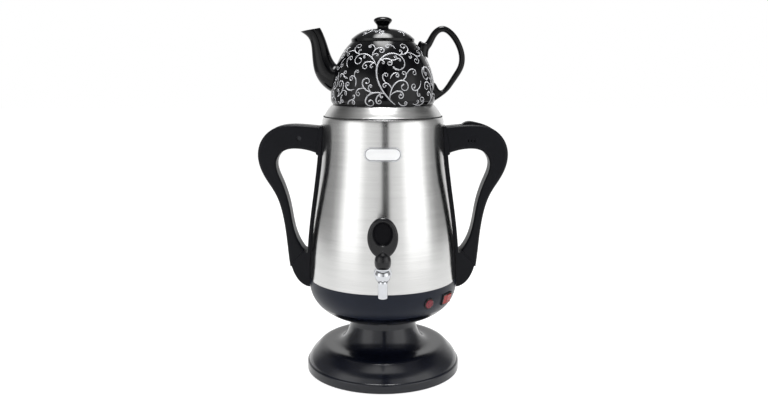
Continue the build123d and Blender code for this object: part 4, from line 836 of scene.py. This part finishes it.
def make_tent():
    """A round light tent with two bright panels and a slot for the lens, dark towards its roof.
    Only light and shine see it. Its cloth goes by the angle round it, from the lens towards +X."""
    bpy.ops.object.select_all(action="DESELECT")
    bpy.ops.mesh.primitive_cylinder_add(
        vertices=96,
        radius=tent_radius,
        depth=tent_top,
        end_fill_type="NOTHING",
        location=(0, 0, tent_top / 2 - 0.01),
    )
    tent = bpy.context.object
    tent.name = "light_tent"
    bpy.ops.object.transform_apply(location=True, rotation=True, scale=True)
    made, tree = glowing_cloth("tent_cloth")
    place = node(tree, "ShaderNodeTexCoord").outputs["Object"]
    parts = node(tree, "ShaderNodeSeparateXYZ", {}, {"Vector": place}).outputs
    backwards = node(
        tree, MATHS, {"operation": "MULTIPLY"}, {0: parts["Y"], 1: -1.0}
    ).outputs[0]
    around = node(
        tree, MATHS, {"operation": "ARCTAN2"}, {0: parts["X"], 1: backwards}
    ).outputs[0]
    share = node(
        tree, "ShaderNodeMapRange", {}, {"Value": around, "From Min": -pi, "From Max": pi}
    ).outputs[0]
    # Degrees from the lens, and how bright the cloth is there, as a part of band_top
    panels = [
        (-180, 1.0),
        (-140, 0.95),
        (-120, 0.3),
        (-90, 0.42),
        (-76, 0.85),
        (-63, 1.9),
        (-42, 1.9),
        (-29, 1.15),
        (-3, 0.9),
        (0, 0.08),
        (8.5, 0.08),
        (12, 0.95),
        (30, 1.2),
        (42, 1.95),
        (70, 1.95),
        (82, 0.85),
        (98, 0.42),
        (120, 0.3),
        (140, 0.95),
        (180, 1.0),
    ]
    band_top = 2.1
    stops = [((angle + 180) / 360, grey(value / band_top)) for angle, value in panels]
    shine = node(tree, BAND, {}, {"Fac": share}, stops).outputs[0]
    # The cloth darkens towards the roof, by height in metres
    rise = node(
        tree, "ShaderNodeMapRange", {}, {"Value": parts["Z"], "From Min": 0.0, "From Max": tent_top}
    ).outputs[0]
    heights = [(0.95, 1.0), (1.4, 0.2), (tent_top, 0.2)]
    falls = [(height / tent_top, grey(value)) for height, value in heights]
    fall = node(tree, BAND, {}, {"Fac": rise}, falls).outputs[0]
    both = node(
        tree,
        MIX,
        {"data_type": "RGBA", "blend_type": "MULTIPLY"},
        {"Factor": 1.0, "A": shine, "B": fall},
    ).outputs[2]
    cloth = node(tree, "ShaderNodeEmission", {}, {"Color": both, "Strength": 2.15})
    node(tree, "ShaderNodeOutputMaterial", {}, {"Surface": cloth.outputs[0]})
    tent.data.materials.append(made)
    tent.visible_camera = False


def make_roof():
    """The tent's dark roof, with a soft box over the samovar and a broad fill in front of it. Each
    box fades to the roof's strength at its edge."""
    edge_strength = 0.3
    for name, centre, half_width, half_depth, height, strength, edge in (
        ("tent_roof", 0.0, 2 * tent_radius, 2 * tent_radius, tent_top, edge_strength, 0.0),
        ("soft_box", 0.2, 0.6, 0.95, tent_top - 0.03, 19.0, 0.5),
        ("fill_box", -1.2, 1.7, 0.5, tent_top - 0.04, 2.4, 0.8),
    ):
        bpy.ops.object.select_all(action="DESELECT")
        bpy.ops.mesh.primitive_plane_add(size=2.0, location=(0, centre, height))
        panel = bpy.context.object
        panel.name = name
        panel.scale = (half_width, half_depth, 1.0)
        bpy.ops.object.transform_apply(location=True, rotation=True, scale=True)
        made, tree = glowing_cloth(name + "_cloth")
        place = node(tree, "ShaderNodeTexCoord").outputs["Object"]
        spread = (1 / half_width, 1 / half_depth, 0.0)
        shift = (0.0, -centre / half_depth, 0.0)
        inside = node(
            tree, "ShaderNodeMapping", {}, {"Vector": place, "Location": shift, "Scale": spread}
        ).outputs[0]
        round_off = node(
            tree, "ShaderNodeTexGradient", {"gradient_type": "SPHERICAL"}, {"Vector": inside}
        ).outputs["Fac"]
        fade = [(0.0, grey(edge_strength / strength)), (edge, grey(1.0))]
        light = node(tree, BAND, {}, {"Fac": round_off}, fade).outputs[0]
        glow = node(tree, "ShaderNodeEmission", {}, {"Color": light, "Strength": strength})
        node(tree, "ShaderNodeOutputMaterial", {}, {"Surface": glow.outputs[0]})
        panel.data.materials.append(made)
        panel.visible_camera = False


# =================================================================================================
# Shadow ring under the lid, and spring
# =================================================================================================
def lid_shadow_ring():
    """A black rubber ring under the lid's rim, shaped like a seal's lip, as painted shadow: a dark
    piece put where the lid only casts a shadow line on the body. Its round section is spun about
    the axis of the samovar."""
    low, high = (Vector(corner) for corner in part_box("samovar_lid"))
    shadow_line_radius, inset = 0.85 * MM, 0.4 * MM
    ring_radius = (high.x - low.x) / 2 - inset
    bpy.ops.object.select_all(action="DESELECT")
    bpy.ops.mesh.primitive_circle_add(
        vertices=12,
        radius=shadow_line_radius,
        fill_type="NOTHING",
        location=(ring_radius, 0, low.z),
        rotation=(pi / 2, 0, 0),
    )
    shadow_ring = bpy.context.object
    shadow_ring.name = "lid_shadow_ring"
    bpy.ops.object.transform_apply(location=True, rotation=True, scale=True)
    bpy.ops.object.mode_set(mode="EDIT")
    bpy.ops.mesh.select_all(action="SELECT")
    bpy.ops.mesh.spin(steps=160, angle=2 * pi, center=(0, 0, 0), axis=(0, 0, 1))
    bpy.ops.mesh.select_all(action="SELECT")
    bpy.ops.mesh.remove_doubles(threshold=0.01 * MM)
    bpy.ops.object.mode_set(mode="OBJECT")
    turn_outward(shadow_ring)
    # Black, as painted shadow for the line under the lid's rim
    paint(shadow_ring, "rubber")
    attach(shadow_ring, "urn_lid")


def tap_return_spring():
    """The coil spring between the tap's seat cup and the roof of its bonnet."""
    low, high = (Vector(corner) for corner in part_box("tap_spring"))
    middle = (low + high) / 2
    wire_radius, turns, steps, stem_lift = 0.7 * MM, 3, 90, 1.91 * MM
    coil_radius = (high.x - low.x) / 2 - wire_radius
    height = high.z - low.z
    coil = []
    for step in range(steps + 1):
        turn = 2 * pi * turns * step / steps
        rise = low.z + wire_radius + (height - 2 * wire_radius) * step / steps
        place = (middle.x + coil_radius * cos(turn), middle.y + coil_radius * sin(turn), rise)
        coil.append((place, wire_radius / MM))
    spring = wires("tap_return_spring", [coil], 2)
    turn_outward(spring)
    paint(spring, "bright_steel")
    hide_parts("tap_spring")
    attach(spring, "urn")
    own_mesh(spring)


bpy.context.scene.view_settings.view_transform = "Standard"
make_camera()
make_world()
make_floor()
make_tent()
make_roof()
for name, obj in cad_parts.items():
    paint(obj, finish_of_node[name])
teapot_ornament()
lid_ornament()
lid_shadow_ring()
tap_return_spring()
